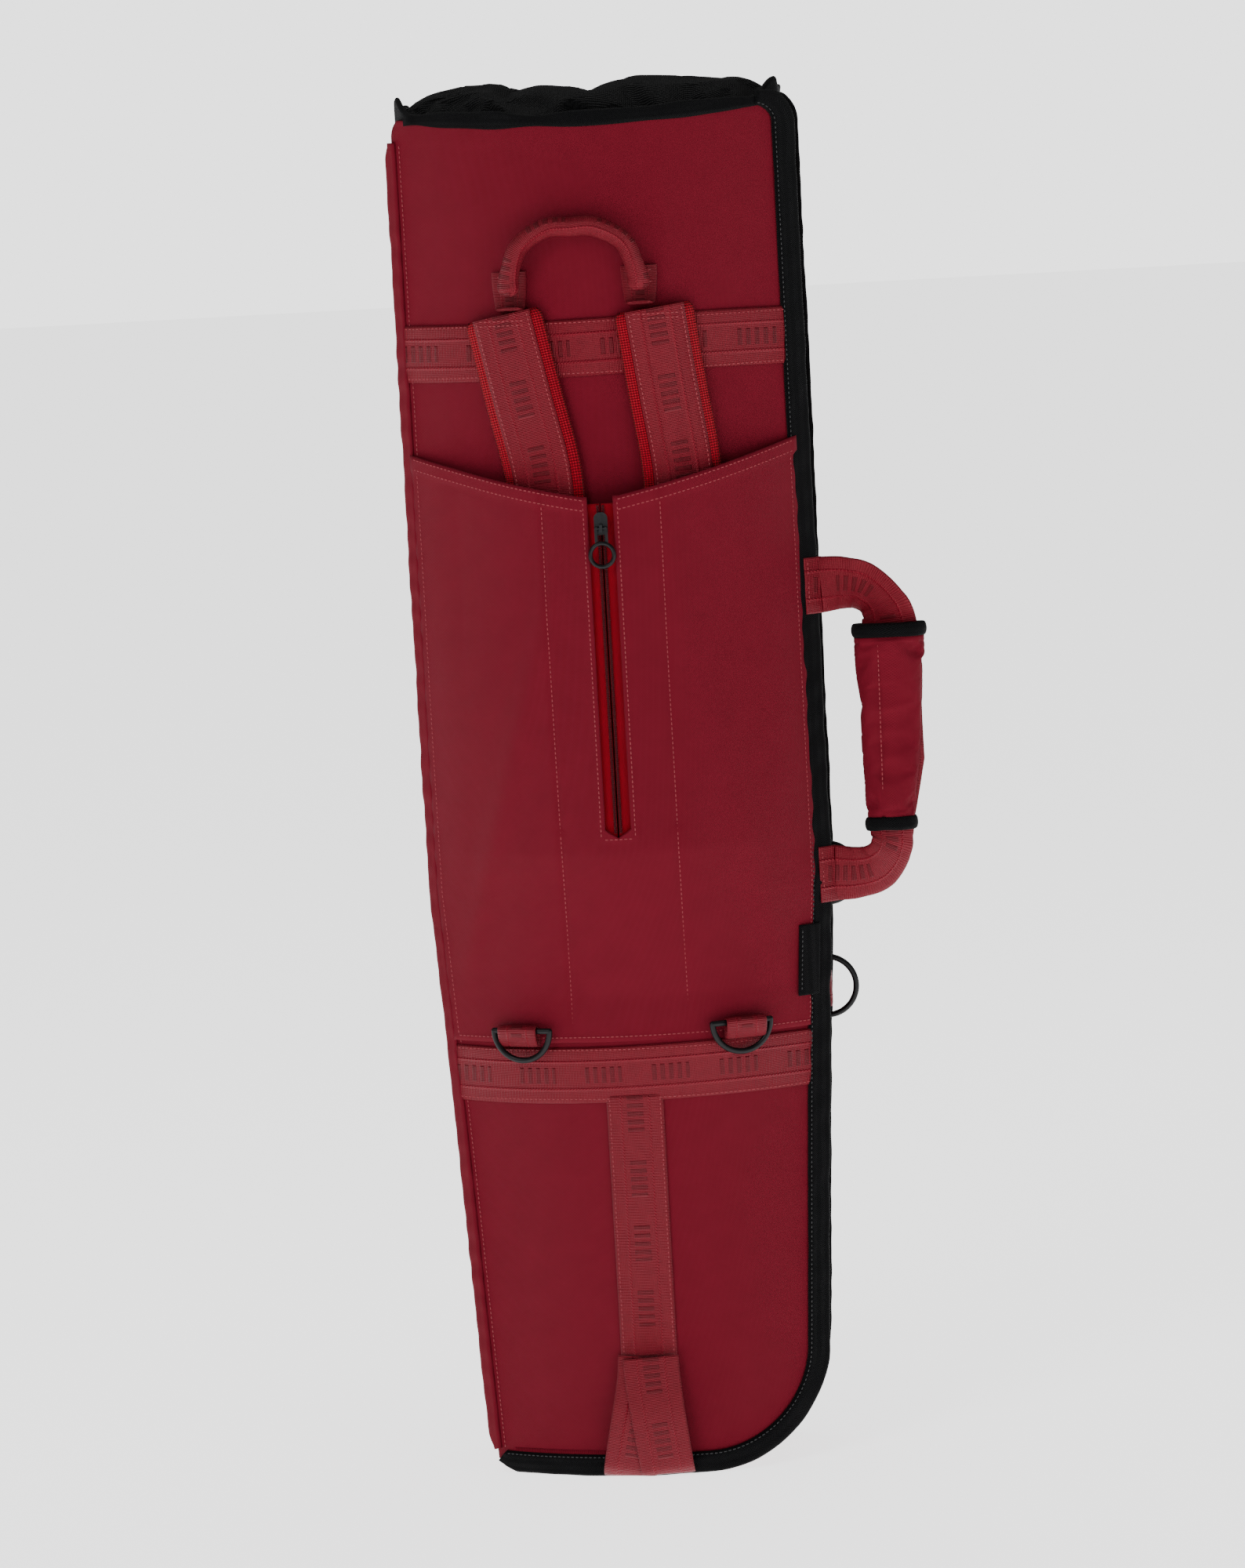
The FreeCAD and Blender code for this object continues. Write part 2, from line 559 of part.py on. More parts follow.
# ------------------------------------------------------------------ webbing
def bands():
    """The two cross bands, the centre strip, the side label and the bottom grab strap."""
    reach = HALF_WIDTH_BELL + SEAM_FIN
    inside = prism(0)

    def band(z):
        return on_back(rectangle(-reach, reach, z, z + WEB_W), 0, WEB_T).common(inside)

    half = WEB_W / 2
    label_x = half_width(LABEL_Z)
    made = {
        "upper_band": band(UPPER_BAND_Z),
        "lower_band": band(LOWER_BAND_Z),
        "centre_strip": on_back(rectangle(-half, half, BAR_TACK_Z, LOWER_BAND_Z), 0, WEB_T),
        "side_label": on_back(rectangle(label_x - LABEL_W, label_x, LABEL_Z, LABEL_Z + LABEL_H),
                              LABEL_LIFT, LABEL_LIFT + LABEL_T),
    }
    # The grab strap runs down the back face, under the bound seam and back up to the gusset.
    sewn_y = BACK_Y - WEB_T
    out_y = sewn_y - GRAB_STAND_OFF
    bend_z = BAR_TACK_Z - GRAB_DROP
    outer = [(sewn_y, BAR_TACK_Z + GRAB_OVER), (out_y, bend_z), (out_y, 0.0),
             (GRAB_FLAT_END_Y, 0.0), (GRAB_FLAT_END_Y, SHELL_FOOT_Z)]
    inner = [(GRAB_FLAT_END_Y - GRAB_T, SHELL_FOOT_Z), (GRAB_FLAT_END_Y - GRAB_T, GRAB_T),
             (out_y + GRAB_T, GRAB_T), (out_y + GRAB_T, bend_z), (sewn_y, BAR_TACK_Z - GRAB_UNDER)]
    wire = Part.makePolygon([V(-GRAB_FOOT_W / 2, y, z) for y, z in outer + inner + outer[:1]])
    foot, top = GRAB_FOOT_W / 2, GRAB_TOP_W / 2
    spread = [(-foot, 0), (foot, 0), (top, BAR_TACK_Z), (top, 2 * BAR_TACK_Z),
              (-top, 2 * BAR_TACK_Z), (-top, BAR_TACK_Z)]
    made["bottom_grab_strap"] = Part.Face(wire).extrude(V(GRAB_FOOT_W, 0, 0)).common(block(spread))
    return made


def d_ring():
    """A D-ring at the origin, its bar along X and its bow hanging below."""
    bow = Part.makeTorus(RING_R, RING_WIRE_R, V(0, 0, 0), V(0, 1, 0))
    below = Part.makeBox(FAR, FAR, FAR, V(-FAR / 2, -FAR / 2, -FAR))
    bar = Part.makeCylinder(RING_WIRE_R, 2 * RING_R, V(-RING_R, 0, 0), V(1, 0, 0))
    ends = [Part.makeSphere(RING_WIRE_R, V(s * RING_R, 0, 0)) for s in (-1, 1)]
    return bow.common(below).fuse([bar] + ends).removeSplitter()


def ring_tab(leaf, leaf_y, leaf_t):
    """A webbing tab folded round a D-ring's bar; its leaf hangs down from the fold."""
    half = RING_TAB_W / 2
    hole_r = RING_WIRE_R + CLEAR
    fold = Part.makeCylinder(hole_r + WEB_T, RING_TAB_W, V(-half, 0, 0), V(1, 0, 0))
    sheet = Part.makeBox(RING_TAB_W, leaf_t, leaf, V(-half, leaf_y, -leaf))
    hole = Part.makeCylinder(hole_r, RING_TAB_W + 2 * WEB_T, V(-half - WEB_T, 0, 0), V(1, 0, 0))
    return fold.fuse(sheet).cut(hole).removeSplitter()


def d_rings():
    """The two strap rings above the lower band and the two rings on the zipper side, with their tabs."""
    made = {}
    fold_r = RING_WIRE_R + CLEAR + WEB_T
    for name, sign in (("left", -1), ("right", 1)):
        x = sign * BACK_RING_X
        made["back_ring_" + name] = face_frame(d_ring(), x, BACK_RING_Z, RING_STAND_OFF)
        tab = ring_tab(RING_TAB_LEAF, fold_r - WEB_T, WEB_T)
        made["back_ring_tab_" + name] = face_frame(tab, x, BACK_RING_Z, RING_STAND_OFF)
    for name, z in SIDE_RINGS.items():
        ring, tab = d_ring(), ring_tab(SIDE_RING_OUT + SIDE_TAB_SEWN, -WEB_T, 2 * WEB_T)
        x = half_width(z)
        for label, shape in (("side_ring_", ring), ("side_ring_tab_", tab)):
            shape.rotate(V(0, 0, 0), V(0, 1, 0), -90 if label == "side_ring_" else 90)
            shape.translate(V(x + SIDE_RING_OUT, SIDE_RING_Y, z))
            made[label + name] = shape
        made["side_ring_tab_" + name] = made["side_ring_tab_" + name].cut(prism(0))
    return made


def side_handle():
    """The carry handle: two sewn tabs, the webbing loop, and a padded grip with bound ends."""
    hinge_x = HALF_WIDTH_BELL + SEAM_FIN + HANDLE_OFF_FIN
    hinge_y = BACK_Y + sag(HALF_WIDTH_BELL + SEAM_FIN, FACE_R) - WEB_T
    half = WEB_W / 2
    far_x = hinge_x + HANDLE_REACH
    made = {}
    for name, z in (("low", HANDLE_LOW_Z), ("high", HANDLE_HIGH_Z)):
        tab = rectangle(hinge_x - TAB_REACH, hinge_x - HANDLE_T / 2 - CLEAR, z - half, z + half)
        made["handle_tab_" + name] = on_back(tab, 0, WEB_T)
    y0 = hinge_y - HANDLE_T / 2
    outer = block(rectangle(hinge_x, far_x, HANDLE_LOW_Z - half, HANDLE_HIGH_Z + half),
                  [0, HANDLE_CORNER_R, HANDLE_CORNER_R, 0], y0, y0 + HANDLE_T)
    inner = block(rectangle(hinge_x - HANDLE_T, far_x - WEB_W, HANDLE_LOW_Z + half, HANDLE_HIGH_Z - half),
                  [0, HANDLE_INNER_R, HANDLE_INNER_R, 0])
    rounds = [Part.makeCylinder(HANDLE_T / 2, WEB_W, V(hinge_x, hinge_y, z - half), UP)
              for z in (HANDLE_LOW_Z, HANDLE_HIGH_Z)]
    made["handle_webbing"] = outer.cut(inner).fuse(rounds).removeSplitter()
    grip_x = far_x - WEB_W / 2
    grip_z = (HANDLE_LOW_Z + HANDLE_HIGH_Z) / 2

    def around(width, depth, z0, z1, radius):
        box = Part.makeBox(width, depth, z1 - z0, V(grip_x - width / 2, hinge_y - depth / 2, z0))
        box = box.makeFillet(radius, [e for e in box.Edges if abs(e.tangentAt(0).z) > 0.9])
        way = Part.makeBox(WEB_W + 2 * CLEAR, HANDLE_T + 2 * CLEAR, FAR,
                           V(grip_x - WEB_W / 2 - CLEAR, hinge_y - HANDLE_T / 2 - CLEAR, z0 - GRIP_END_L))
        return box.cut(way)

    low, high = grip_z - GRIP_L / 2, grip_z + GRIP_L / 2
    made["grip_sleeve"] = around(GRIP_W, GRIP_D, low + GRIP_END_L, high - GRIP_END_L, GRIP_R)
    wide, deep = GRIP_W + 2 * GRIP_END_PROUD, GRIP_D + 2 * GRIP_END_PROUD
    made["grip_binding_low"] = around(wide, deep, low, low + GRIP_END_L, GRIP_R + GRIP_END_PROUD)
    made["grip_binding_high"] = around(wide, deep, high - GRIP_END_L, high, GRIP_R + GRIP_END_PROUD)
    return made


def top_handle():
    """The rolled webbing loop with its cord core, and the sewn tabs that it springs from."""
    z0, z1 = ROLL_FOOT_Z, ROLL_FOOT_Z + ROLL_LEG
    left, right = ROLL_X - ROLL_HALF_W, ROLL_X + ROLL_HALF_W

    def tube(radius):
        r = ROLL_CORNER_R
        bite = r * (1 - math.sqrt(0.5))
        points = [V(left, ROLL_Y, z0), V(left, ROLL_Y, z1), V(left + bite, ROLL_Y, z1 + r - bite),
                  V(left + r, ROLL_Y, z1 + r), V(right - r, ROLL_Y, z1 + r),
                  V(right - bite, ROLL_Y, z1 + r - bite), V(right, ROLL_Y, z1), V(right, ROLL_Y, z0)]
        path = Part.Wire([
            Part.LineSegment(points[0], points[1]).toShape(),
            Part.Arc(points[1], points[2], points[3]).toShape(),
            Part.LineSegment(points[3], points[4]).toShape(),
            Part.Arc(points[4], points[5], points[6]).toShape(),
            Part.LineSegment(points[6], points[7]).toShape(),
        ])
        ring = Part.Wire([Part.makeCircle(radius, V(left, ROLL_Y, z0), UP)])
        return path.makePipeShell([ring], True, False)

    ends = [Part.makeSphere(ROLL_R, V(x, ROLL_Y, z0)) for x in (left, right)]
    core = tube(ROLL_CORE_R)
    made = {
        "top_handle_roll": tube(ROLL_R).fuse(ends).cut(core).removeSplitter(),
        "top_handle_core": core,
    }
    tab_z = z0 - ROLL_R - CLEAR - ROLL_TAB_T
    tabs = [Part.makeBox(2 * ROLL_R, FACE_AXIS_Y - ROLL_Y, ROLL_TAB_T, V(x - ROLL_R, ROLL_Y - ROLL_R, tab_z))
            for x in (left, right)]
    made["top_handle_tabs"] = Part.makeCompound([tab.cut(back_roll(0)) for tab in tabs])
    return made


def strap_outline(top_x, bend_x, width, foot_z, top_z=STRAP_TOP_Z):
    """A strap's outline on the back face: leaning down to the pocket, then straight down inside it."""
    half = width / 2
    return [(bend_x - half, foot_z), (bend_x + half, foot_z), (bend_x + half, STRAP_BEND_Z),
            (top_x + half, top_z), (top_x - half, top_z), (bend_x - half, STRAP_BEND_Z)]


def ladder_lock(x, tail_half, low):
    """A flat buckle frame with two slots for the strap's tail."""
    foot_z = TAIL_FOOT_Z + LOCK_UP
    half = WEB_W / 2
    lock = on_back(rectangle(x - half, x + half, foot_z, foot_z + LOCK_H), low, low + LOCK_T, [LOCK_R] * 4)
    slot_half = tail_half + LOCK_SLOT_SIDE
    for k in range(2):
        slot_z = foot_z + LOCK_BAR + k * LOCK_SLOT_PITCH
        slot = on_back(rectangle(x - slot_half, x + slot_half, slot_z, slot_z + LOCK_SLOT_H), 0, 5 * LOCK_T)
        lock = lock.cut(slot)
    return lock


def snap_hook(x):
    """A flat hook below the tail, with a round mouth and a gap for its gate."""
    top_z = TAIL_FOOT_Z - CLEAR
    half, mouth_half = HOOK_W / 2, HOOK_W / 2 - HOOK_BAR
    shape = rectangle(x - half, x + half, top_z - HOOK_H, top_z)
    corners = [HOOK_BOW_R, HOOK_BOW_R, HOOK_SHANK_R, HOOK_SHANK_R]
    hook = on_back(shape, HOOK_STAND_OFF, HOOK_STAND_OFF + HOOK_T, corners)
    mouth = rectangle(x - mouth_half, x + mouth_half, top_z - HOOK_H + HOOK_BAR, top_z - HOOK_EYE_H)
    corners = [HOOK_MOUTH_R, HOOK_MOUTH_R, HOOK_MOUTH_TOP_R, HOOK_MOUTH_TOP_R]
    hook = hook.cut(on_back(mouth, 0, HOOK_STAND_OFF + 2 * HOOK_T, corners))
    gate_z = top_z - HOOK_GATE_Z
    gate = rectangle(x - half - CLEAR, x - HOOK_MOUTH_TOP_R, gate_z - HOOK_GATE_H, gate_z)
    return hook.cut(on_back(gate, 0, HOOK_STAND_OFF + 2 * HOOK_T))


def shoulder_straps():
    """Each strap's mesh-edged pad, its webbing, the tail inside the pocket, and the buckle and hook on it."""
    made = {}
    pad_low = WEB_T + PAD_LIFT
    web_low = pad_low + PAD_T
    tail_low = pad_low + TAIL_LIFT
    tail_half = WEB_W / 4
    for name, (top_x, bend_x) in STRAPS.items():
        outline = strap_outline(top_x, bend_x, PAD_W, STRAP_FOOT_Z)
        corners = [PAD_FOOT_R, PAD_FOOT_R, PAD_BEND_R, PAD_TOP_R, PAD_TOP_R, PAD_BEND_R]
        made["strap_pad_" + name] = on_back(outline, pad_low, pad_low + PAD_T, corners)
        outline = strap_outline(top_x, bend_x, WEB_W, STRAP_FOOT_Z + WEB_FOOT_UP)
        corners = [0, 0, PAD_BEND_R, 0, 0, PAD_BEND_R]
        made["strap_webbing_" + name] = on_back(outline, web_low, web_low + WEB_T, corners)
        outline = rectangle(bend_x - tail_half, bend_x + tail_half, TAIL_FOOT_Z, STRAP_FOOT_Z)
        made["strap_tail_" + name] = on_back(outline, tail_low, tail_low + WEB_T)
        made["ladder_lock_" + name] = ladder_lock(bend_x, tail_half, tail_low + WEB_T + CLEAR)
        made["snap_hook_" + name] = snap_hook(bend_x)
    return made


def main():
    os.makedirs("parts", exist_ok=True)
    for make in (shells, bindings, main_zipper, main_sliders, pocket, bands, d_rings,
                 side_handle, top_handle, shoulder_straps):
        for name, shape in make().items():
            save(name, shape)
    save("top_cap_mesh", top_cap())


def save(name, shape):
    """Writes one node and says how many solids it holds and whether they are sound."""
    solids = shape.Solids
    print(f"{name}: {len(solids)} solids, {shape.Volume:.0f} mm3, valid {shape.isValid()}")
    kept = solids[0] if len(solids) == 1 else Part.makeCompound(solids)
    kept.exportStep(f"parts/{name}.step")


main()
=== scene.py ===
import bmesh
import bpy
import math
import numpy as np
from mathutils import Matrix, Vector


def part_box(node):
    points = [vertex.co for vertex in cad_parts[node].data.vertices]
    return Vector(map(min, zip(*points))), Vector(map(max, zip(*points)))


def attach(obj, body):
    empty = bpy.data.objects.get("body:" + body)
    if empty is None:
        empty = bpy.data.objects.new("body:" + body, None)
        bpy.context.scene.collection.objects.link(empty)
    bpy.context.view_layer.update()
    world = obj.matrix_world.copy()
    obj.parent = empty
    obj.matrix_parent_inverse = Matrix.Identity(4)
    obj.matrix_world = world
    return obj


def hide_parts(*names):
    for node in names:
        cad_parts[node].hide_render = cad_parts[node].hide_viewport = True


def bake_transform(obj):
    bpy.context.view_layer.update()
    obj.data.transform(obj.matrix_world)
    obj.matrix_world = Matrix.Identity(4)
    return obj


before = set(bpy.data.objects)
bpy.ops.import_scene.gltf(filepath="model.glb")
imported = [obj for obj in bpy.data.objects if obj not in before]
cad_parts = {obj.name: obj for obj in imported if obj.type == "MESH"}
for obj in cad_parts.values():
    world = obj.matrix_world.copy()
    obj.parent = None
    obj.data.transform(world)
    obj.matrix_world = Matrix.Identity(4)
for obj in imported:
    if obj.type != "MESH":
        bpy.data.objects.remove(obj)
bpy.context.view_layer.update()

# ---- Studio -------------------------------------------------------------------------------
# A white floor in a white room, three softboxes and a long lens. The bag is looked at
# from a little above and a little towards its carry handle, and leans left in view.
VIEW_AZIMUTH = math.radians(4.0)
VIEW_ELEVATION = math.radians(7.0)
VIEW_ROLL = math.radians(3.2)
VIEW_HEIGHT = 1.048
VIEW_DISTANCE = 3.4
VIEW_TARGET = Vector((0.0035, -0.026, 0.474))
SENSOR_MM = 36.0
ROOM_LIGHT = 0.16
ROOM_SEEN = 2.42
WHITE = (1.0, 1.0, 1.0)


def softbox(name, place, aim, size, watts):
    """An area light at a place, turned to face a point."""
    light = bpy.data.lights.new(name, "AREA")
    light.shape = "RECTANGLE"
    light.size, light.size_y = size
    light.energy = watts
    light.color = WHITE
    lamp = bpy.data.objects.new(name, light)
    lamp.location = place
    lamp.rotation_euler = (Vector(aim) - Vector(place)).to_track_quat("-Z", "Y").to_euler()
    bpy.context.scene.collection.objects.link(lamp)


softbox("key_softbox", (-1.5, -2.3, 2.3), (0.0, 0.0, 0.5), (1.1, 1.5), 34.0)
softbox("fill_softbox", (2.2, -1.9, 1.0), (0.0, 0.0, 0.45), (1.4, 1.8), 9.0)
softbox("top_softbox", (0.1, 0.5, 2.8), (0.0, 0.1, 0.6), (2.4, 2.0), 22.0)

world = bpy.data.worlds.new("white_room")
bpy.context.scene.world = world
world.use_nodes = True
room = world.node_tree
background = room.nodes["Background"].inputs
background["Color"].default_value = (*WHITE, 1.0)
brightness = room.nodes.new("ShaderNodeMapRange")
brightness.inputs["To Min"].default_value = ROOM_LIGHT
brightness.inputs["To Max"].default_value = ROOM_SEEN
room.links.new(room.nodes.new("ShaderNodeLightPath").outputs["Is Camera Ray"], brightness.inputs["Value"])
room.links.new(brightness.outputs[0], background["Strength"])

away = Vector((math.sin(VIEW_AZIMUTH) * math.cos(VIEW_ELEVATION),
               -math.cos(VIEW_AZIMUTH) * math.cos(VIEW_ELEVATION),
               math.sin(VIEW_ELEVATION)))
right = Vector((math.cos(VIEW_AZIMUTH), math.sin(VIEW_AZIMUTH), 0.0))
above = away.cross(right)
cam_right = right * math.cos(VIEW_ROLL) - above * math.sin(VIEW_ROLL)
cam_up = above * math.cos(VIEW_ROLL) + right * math.sin(VIEW_ROLL)
lens = bpy.data.cameras.new("long_lens")
lens.sensor_fit = "VERTICAL"
lens.sensor_height = SENSOR_MM
lens.lens = SENSOR_MM * VIEW_DISTANCE / VIEW_HEIGHT
camera = bpy.data.objects.new("camera", lens)
turn = Matrix((cam_right, cam_up, away)).transposed().to_4x4()
camera.matrix_world = Matrix.Translation(VIEW_TARGET + away * VIEW_DISTANCE) @ turn
bpy.context.scene.collection.objects.link(camera)
bpy.context.scene.camera = camera


# ---- Burgundy polyester twill --------------------------------------------------------------
# The outer cloth of both half shells, the pocket and the grip: a fine diagonal twill
# with a slight sheen, its weave's grooves painted darker as painted shade. Every cloth has a UV map laid out
# in metres.
def link(tree, source, target):
    tree.links.new(source, target)


def math_node(tree, operation, *values):
    """A Math node; each value is a number or a socket."""
    node = tree.nodes.new("ShaderNodeMath")
    node.operation = operation
    for socket, value in zip(node.inputs, values):
        if isinstance(value, (int, float)):
            socket.default_value = value
        else:
            link(tree, value, socket)
    return node.outputs[0]


def weave_group(name, **sizes):
    """A node group that draws a weave: its tree, its inputs, its outputs, and x and y across the cloth."""
    tree = bpy.data.node_groups.new(name, "ShaderNodeTree")
    tree.interface.new_socket("Vector", in_out="INPUT", socket_type="NodeSocketVector")
    for label, size in sizes.items():
        socket = tree.interface.new_socket(label, in_out="INPUT", socket_type="NodeSocketFloat")
        socket.default_value = size
    for label in ("Height", "Shade"):
        tree.interface.new_socket(label, in_out="OUTPUT", socket_type="NodeSocketFloat")
    given = tree.nodes.new("NodeGroupInput").outputs
    split = tree.nodes.new("ShaderNodeSeparateXYZ")
    link(tree, given["Vector"], split.inputs[0])
    return tree, given, tree.nodes.new("NodeGroupOutput").inputs, split.outputs[0], split.outputs[1]


def noise_node(tree, vector, scale, detail, roughness=0.5):
    """A soft noise over a vector, from about 0 to 1."""
    node = tree.nodes.new("ShaderNodeTexNoise")
    node.inputs["Scale"].default_value = scale
    node.inputs["Detail"].default_value = detail
    node.inputs["Roughness"].default_value = roughness
    link(tree, vector, node.inputs["Vector"])
    return node.outputs["Fac"]


def mixed_colour(tree, share, dark, light):
    """A colour between two, by a share from 0 to 1."""
    mix = tree.nodes.new("ShaderNodeMix")
    mix.data_type = "RGBA"
    mix.inputs["A"].default_value = (*dark, 1.0)
    mix.inputs["B"].default_value = (*light, 1.0)
    link(tree, share, mix.inputs["Factor"])
    return mix.outputs["Result"]


def bump_node(tree, height, strength, distance):
    node = tree.nodes.new("ShaderNodeBump")
    node.inputs["Strength"].default_value = strength
    node.inputs["Distance"].default_value = distance
    link(tree, height, node.inputs["Height"])
    return node.outputs[0]


def new_material(name):
    """A material with nodes: itself, its node tree and its shader's inputs."""
    material = bpy.data.materials.new(name)
    material.use_nodes = True
    return material, material.node_tree, material.node_tree.nodes["Principled BSDF"].inputs


def wave(tree, value, pitch):
    """sin(2 pi value / pitch)"""
    turns = math_node(tree, "DIVIDE", value, pitch)
    return math_node(tree, "SINE", math_node(tree, "MULTIPLY", turns, 2 * math.pi))


def twill_group():
    """Diagonal ribs, broken by the threads that make them, over a slow unevenness."""
    tree, given, out, x, y = weave_group("twill weave", Rib=0.0011, Thread=0.0007)
    rib = wave(tree, math_node(tree, "ADD", x, y), given["Rib"])
    thread = wave(tree, math_node(tree, "SUBTRACT", x, y), given["Thread"])
    weave = math_node(tree, "MULTIPLY_ADD", thread, 0.35, rib)
    slow = noise_node(tree, given["Vector"], 55.0, 3.0, 0.6)
    fuzz = noise_node(tree, given["Vector"], 2400.0, 1.0)
    link(tree, math_node(tree, "MULTIPLY_ADD", fuzz, 0.8, weave), out["Height"])
    # The shade follows the weave: its grooves are painted darker, a painted shade; the slow and fine noise is
    # the cloth's own uneven tone.
    calm = math_node(tree, "MULTIPLY_ADD", slow, 0.4, 0.30)
    mixed = math_node(tree, "MULTIPLY_ADD", weave, 0.16, calm)
    link(tree, math_node(tree, "MULTIPLY_ADD", fuzz, 0.35, mixed), out["Shade"])
    return tree


TWILL_GROUP = twill_group()


def cloth_material(name, group, dark, light, bump, distance, roughness, sheen, tint, gloss=0.16, **sizes):
    """A cloth: a weave group mixes two colours and raises a bump, under a little sheen."""
    material, tree, shader = new_material(name)
    uv_map = tree.nodes.new("ShaderNodeUVMap")
    uv_map.uv_map = "cloth"
    weave = tree.nodes.new("ShaderNodeGroup")
    weave.node_tree = group
    link(tree, uv_map.outputs[0], weave.inputs["Vector"])
    for label, size in sizes.items():
        weave.inputs[label].default_value = size
    ramp = tree.nodes.new("ShaderNodeMapRange")
    ramp.inputs["From Min"].default_value = 0.2
    ramp.inputs["From Max"].default_value = 1.1
    link(tree, weave.outputs["Shade"], ramp.inputs["Value"])
    link(tree, mixed_colour(tree, ramp.outputs[0], dark, light), shader["Base Color"])
    link(tree, bump_node(tree, weave.outputs["Height"], bump, distance), shader["Normal"])
    shader["Roughness"].default_value = roughness
    shader["Sheen Weight"].default_value = sheen
    shader["Sheen Roughness"].default_value = 0.4
    shader["Sheen Tint"].default_value = (*tint, 1.0)
    shader["Specular IOR Level"].default_value = gloss
    shader["Specular Tint"].default_value = (*tint, 1.0)
    return material


TWILL = cloth_material(
    "burgundy_twill", TWILL_GROUP,
    dark=(0.092, 0.0030, 0.0088), light=(0.150, 0.0062, 0.0165), bump=0.5, distance=0.00025,
    roughness=0.62, sheen=0.06, tint=(1.0, 0.22, 0.28), gloss=0.25)


# ---- Outline and faces shared by the two half shells ---------------------------------------
# Both faces are sheets curved across the bag; the sides run straight down from the bell end
# to the knee, then taper to the foot, whose corner on the handle side is rounded.
FACE_R = 0.225
KNEE_Z = 0.400
FOOT_DEPTH = 0.130
BELL_DEPTH = 0.205
FOOT_TAPER = 0.021
TOP_CORNER_R = 0.018
FOOT_CORNER_R = 0.070
DOME_R = 0.400
TOP_BLEND_Z = 0.80
(_, BACK_Y, FOOT_Z), (HALF_BELL, _, _) = (np.array(corner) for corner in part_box("back_panel_fabric"))
HALF_FOOT = HALF_BELL - FOOT_TAPER
FRONT_FOOT_Y = BACK_Y + FOOT_DEPTH
DOME_TOP_Z = 0.925
DOME_Y = BACK_Y + 0.0905
SPLIT_FOOT_Y = FRONT_FOOT_Y - 0.076
LEAN = math.atan2(BACK_Y + BELL_DEPTH - FRONT_FOOT_Y, DOME_TOP_Z - FOOT_Z)


def half_width(z):
    """Half the shell's width: constant above the knee, tapering in a straight line below it."""
    share = np.clip((z - FOOT_Z) / (KNEE_Z - FOOT_Z), 0.0, 1.0)
    soft = share - 0.06 * np.sin(np.pi * share) * share
    return HALF_FOOT + soft * (HALF_BELL - HALF_FOOT)


def side_x(z, side):
    """The edge's x at a height: half the width, less the rounded corners at the foot and the top."""
    x = half_width(z)
    if side > 0:
        drop = np.clip(FOOT_Z + FOOT_CORNER_R - z, 0.0, FOOT_CORNER_R)
        x = x - (FOOT_CORNER_R - np.sqrt(FOOT_CORNER_R ** 2 - drop ** 2))
    rise = np.clip(z - (DOME_TOP_Z + 0.005 - TOP_CORNER_R), 0.0, TOP_CORNER_R)
    return side * (x - (TOP_CORNER_R - np.sqrt(TOP_CORNER_R ** 2 - rise ** 2)))


def sag(x, radius=FACE_R):
    """How far an arc has fallen away from its crest at x."""
    return radius - np.sqrt(radius ** 2 - x ** 2)


def split_y(z):
    """Where the zipper's plane is at a height."""
    return SPLIT_FOOT_Y + (z - FOOT_Z) * math.tan(LEAN)


def front_crest_y(z):
    """The front face's crest at a height."""
    return FRONT_FOOT_Y + (z - FOOT_Z) * math.tan(LEAN)


def dome_z(y):
    """The top's low dome: an arc over the bag from back to front."""
    return DOME_TOP_Z - sag(np.clip(y - DOME_Y, -0.2, 0.2), DOME_R)


def ripple(a, b, seed, slow, fast):
    """Soft unevenness: a sum of seeded sine waves over two lengths in metres, about -1 to 1."""
    count = 7
    rng = np.random.default_rng(seed)
    total = np.zeros(np.broadcast(a, b).shape)
    for _ in range(count):
        rate = rng.uniform(slow, fast) * 2 * np.pi
        heading = rng.uniform(0, np.pi)
        way = a * np.cos(heading) + b * np.sin(heading)
        total = total + np.sin(rate * way + rng.uniform(0, 6.28))
    return total / math.sqrt(count) / 1.4


def back_relief(x, z):
    """The padding's soft unevenness on the wearer's side, fading to nothing at the sewn edges."""
    edge = np.clip((half_width(z) - np.abs(x)) / 0.03, 0.0, 1.0)
    ends = np.clip((z - FOOT_Z) / 0.04, 0.0, 1.0) * np.clip((DOME_TOP_Z - 0.008 - z) / 0.05, 0.0, 1.0)
    crease = 0.0012 * np.exp(-((x - 0.045 - 0.02 * (z - 0.6)) / 0.008) ** 2)
    crease = crease * np.clip((z - 0.28) / 0.1, 0, 1)
    return (0.0018 * ripple(x, z * 0.5, 11, slow=3.0, fast=9.0) + crease) * edge * ends


def on_back(x, z, lift=0.0):
    """A point at a height above the back face, measured square to it."""
    turn_by = np.arcsin(np.clip(x / FACE_R, -1, 1))
    reach = FACE_R + lift + back_relief(x, z)
    return np.stack([reach * np.sin(turn_by), BACK_Y + FACE_R - reach * np.cos(turn_by), z + 0 * x], -1)


def grid_mesh(name, points, uv, loop_u=False, loop_v=False):
    """A mesh from a grid of points with a UV map in metres; a looped way round closes on its start.

    The UV grid always has one more row or column where the points loop.
    """
    rows, cols = points.shape[:2]
    index = np.arange(rows * cols).reshape(rows, cols)
    i, j = np.meshgrid(np.arange(rows - (not loop_u)), np.arange(cols - (not loop_v)), indexing="ij")
    i2, j2 = (i + 1) % rows, (j + 1) % cols
    faces = np.stack([index[i, j], index[i2, j], index[i2, j2], index[i, j2]], -1).reshape(-1, 4)
    mesh = bpy.data.meshes.new(name)
    mesh.from_pydata(points.reshape(-1, 3).tolist(), [], faces.tolist())
    corners = np.stack([uv[i, j], uv[i + 1, j], uv[i + 1, j + 1], uv[i, j + 1]], 2)
    layer = mesh.uv_layers.new(name="cloth")
    layer.data.foreach_set("uv", corners.reshape(-1))
    mesh.polygons.foreach_set("use_smooth", [True] * len(mesh.polygons))
    return mesh


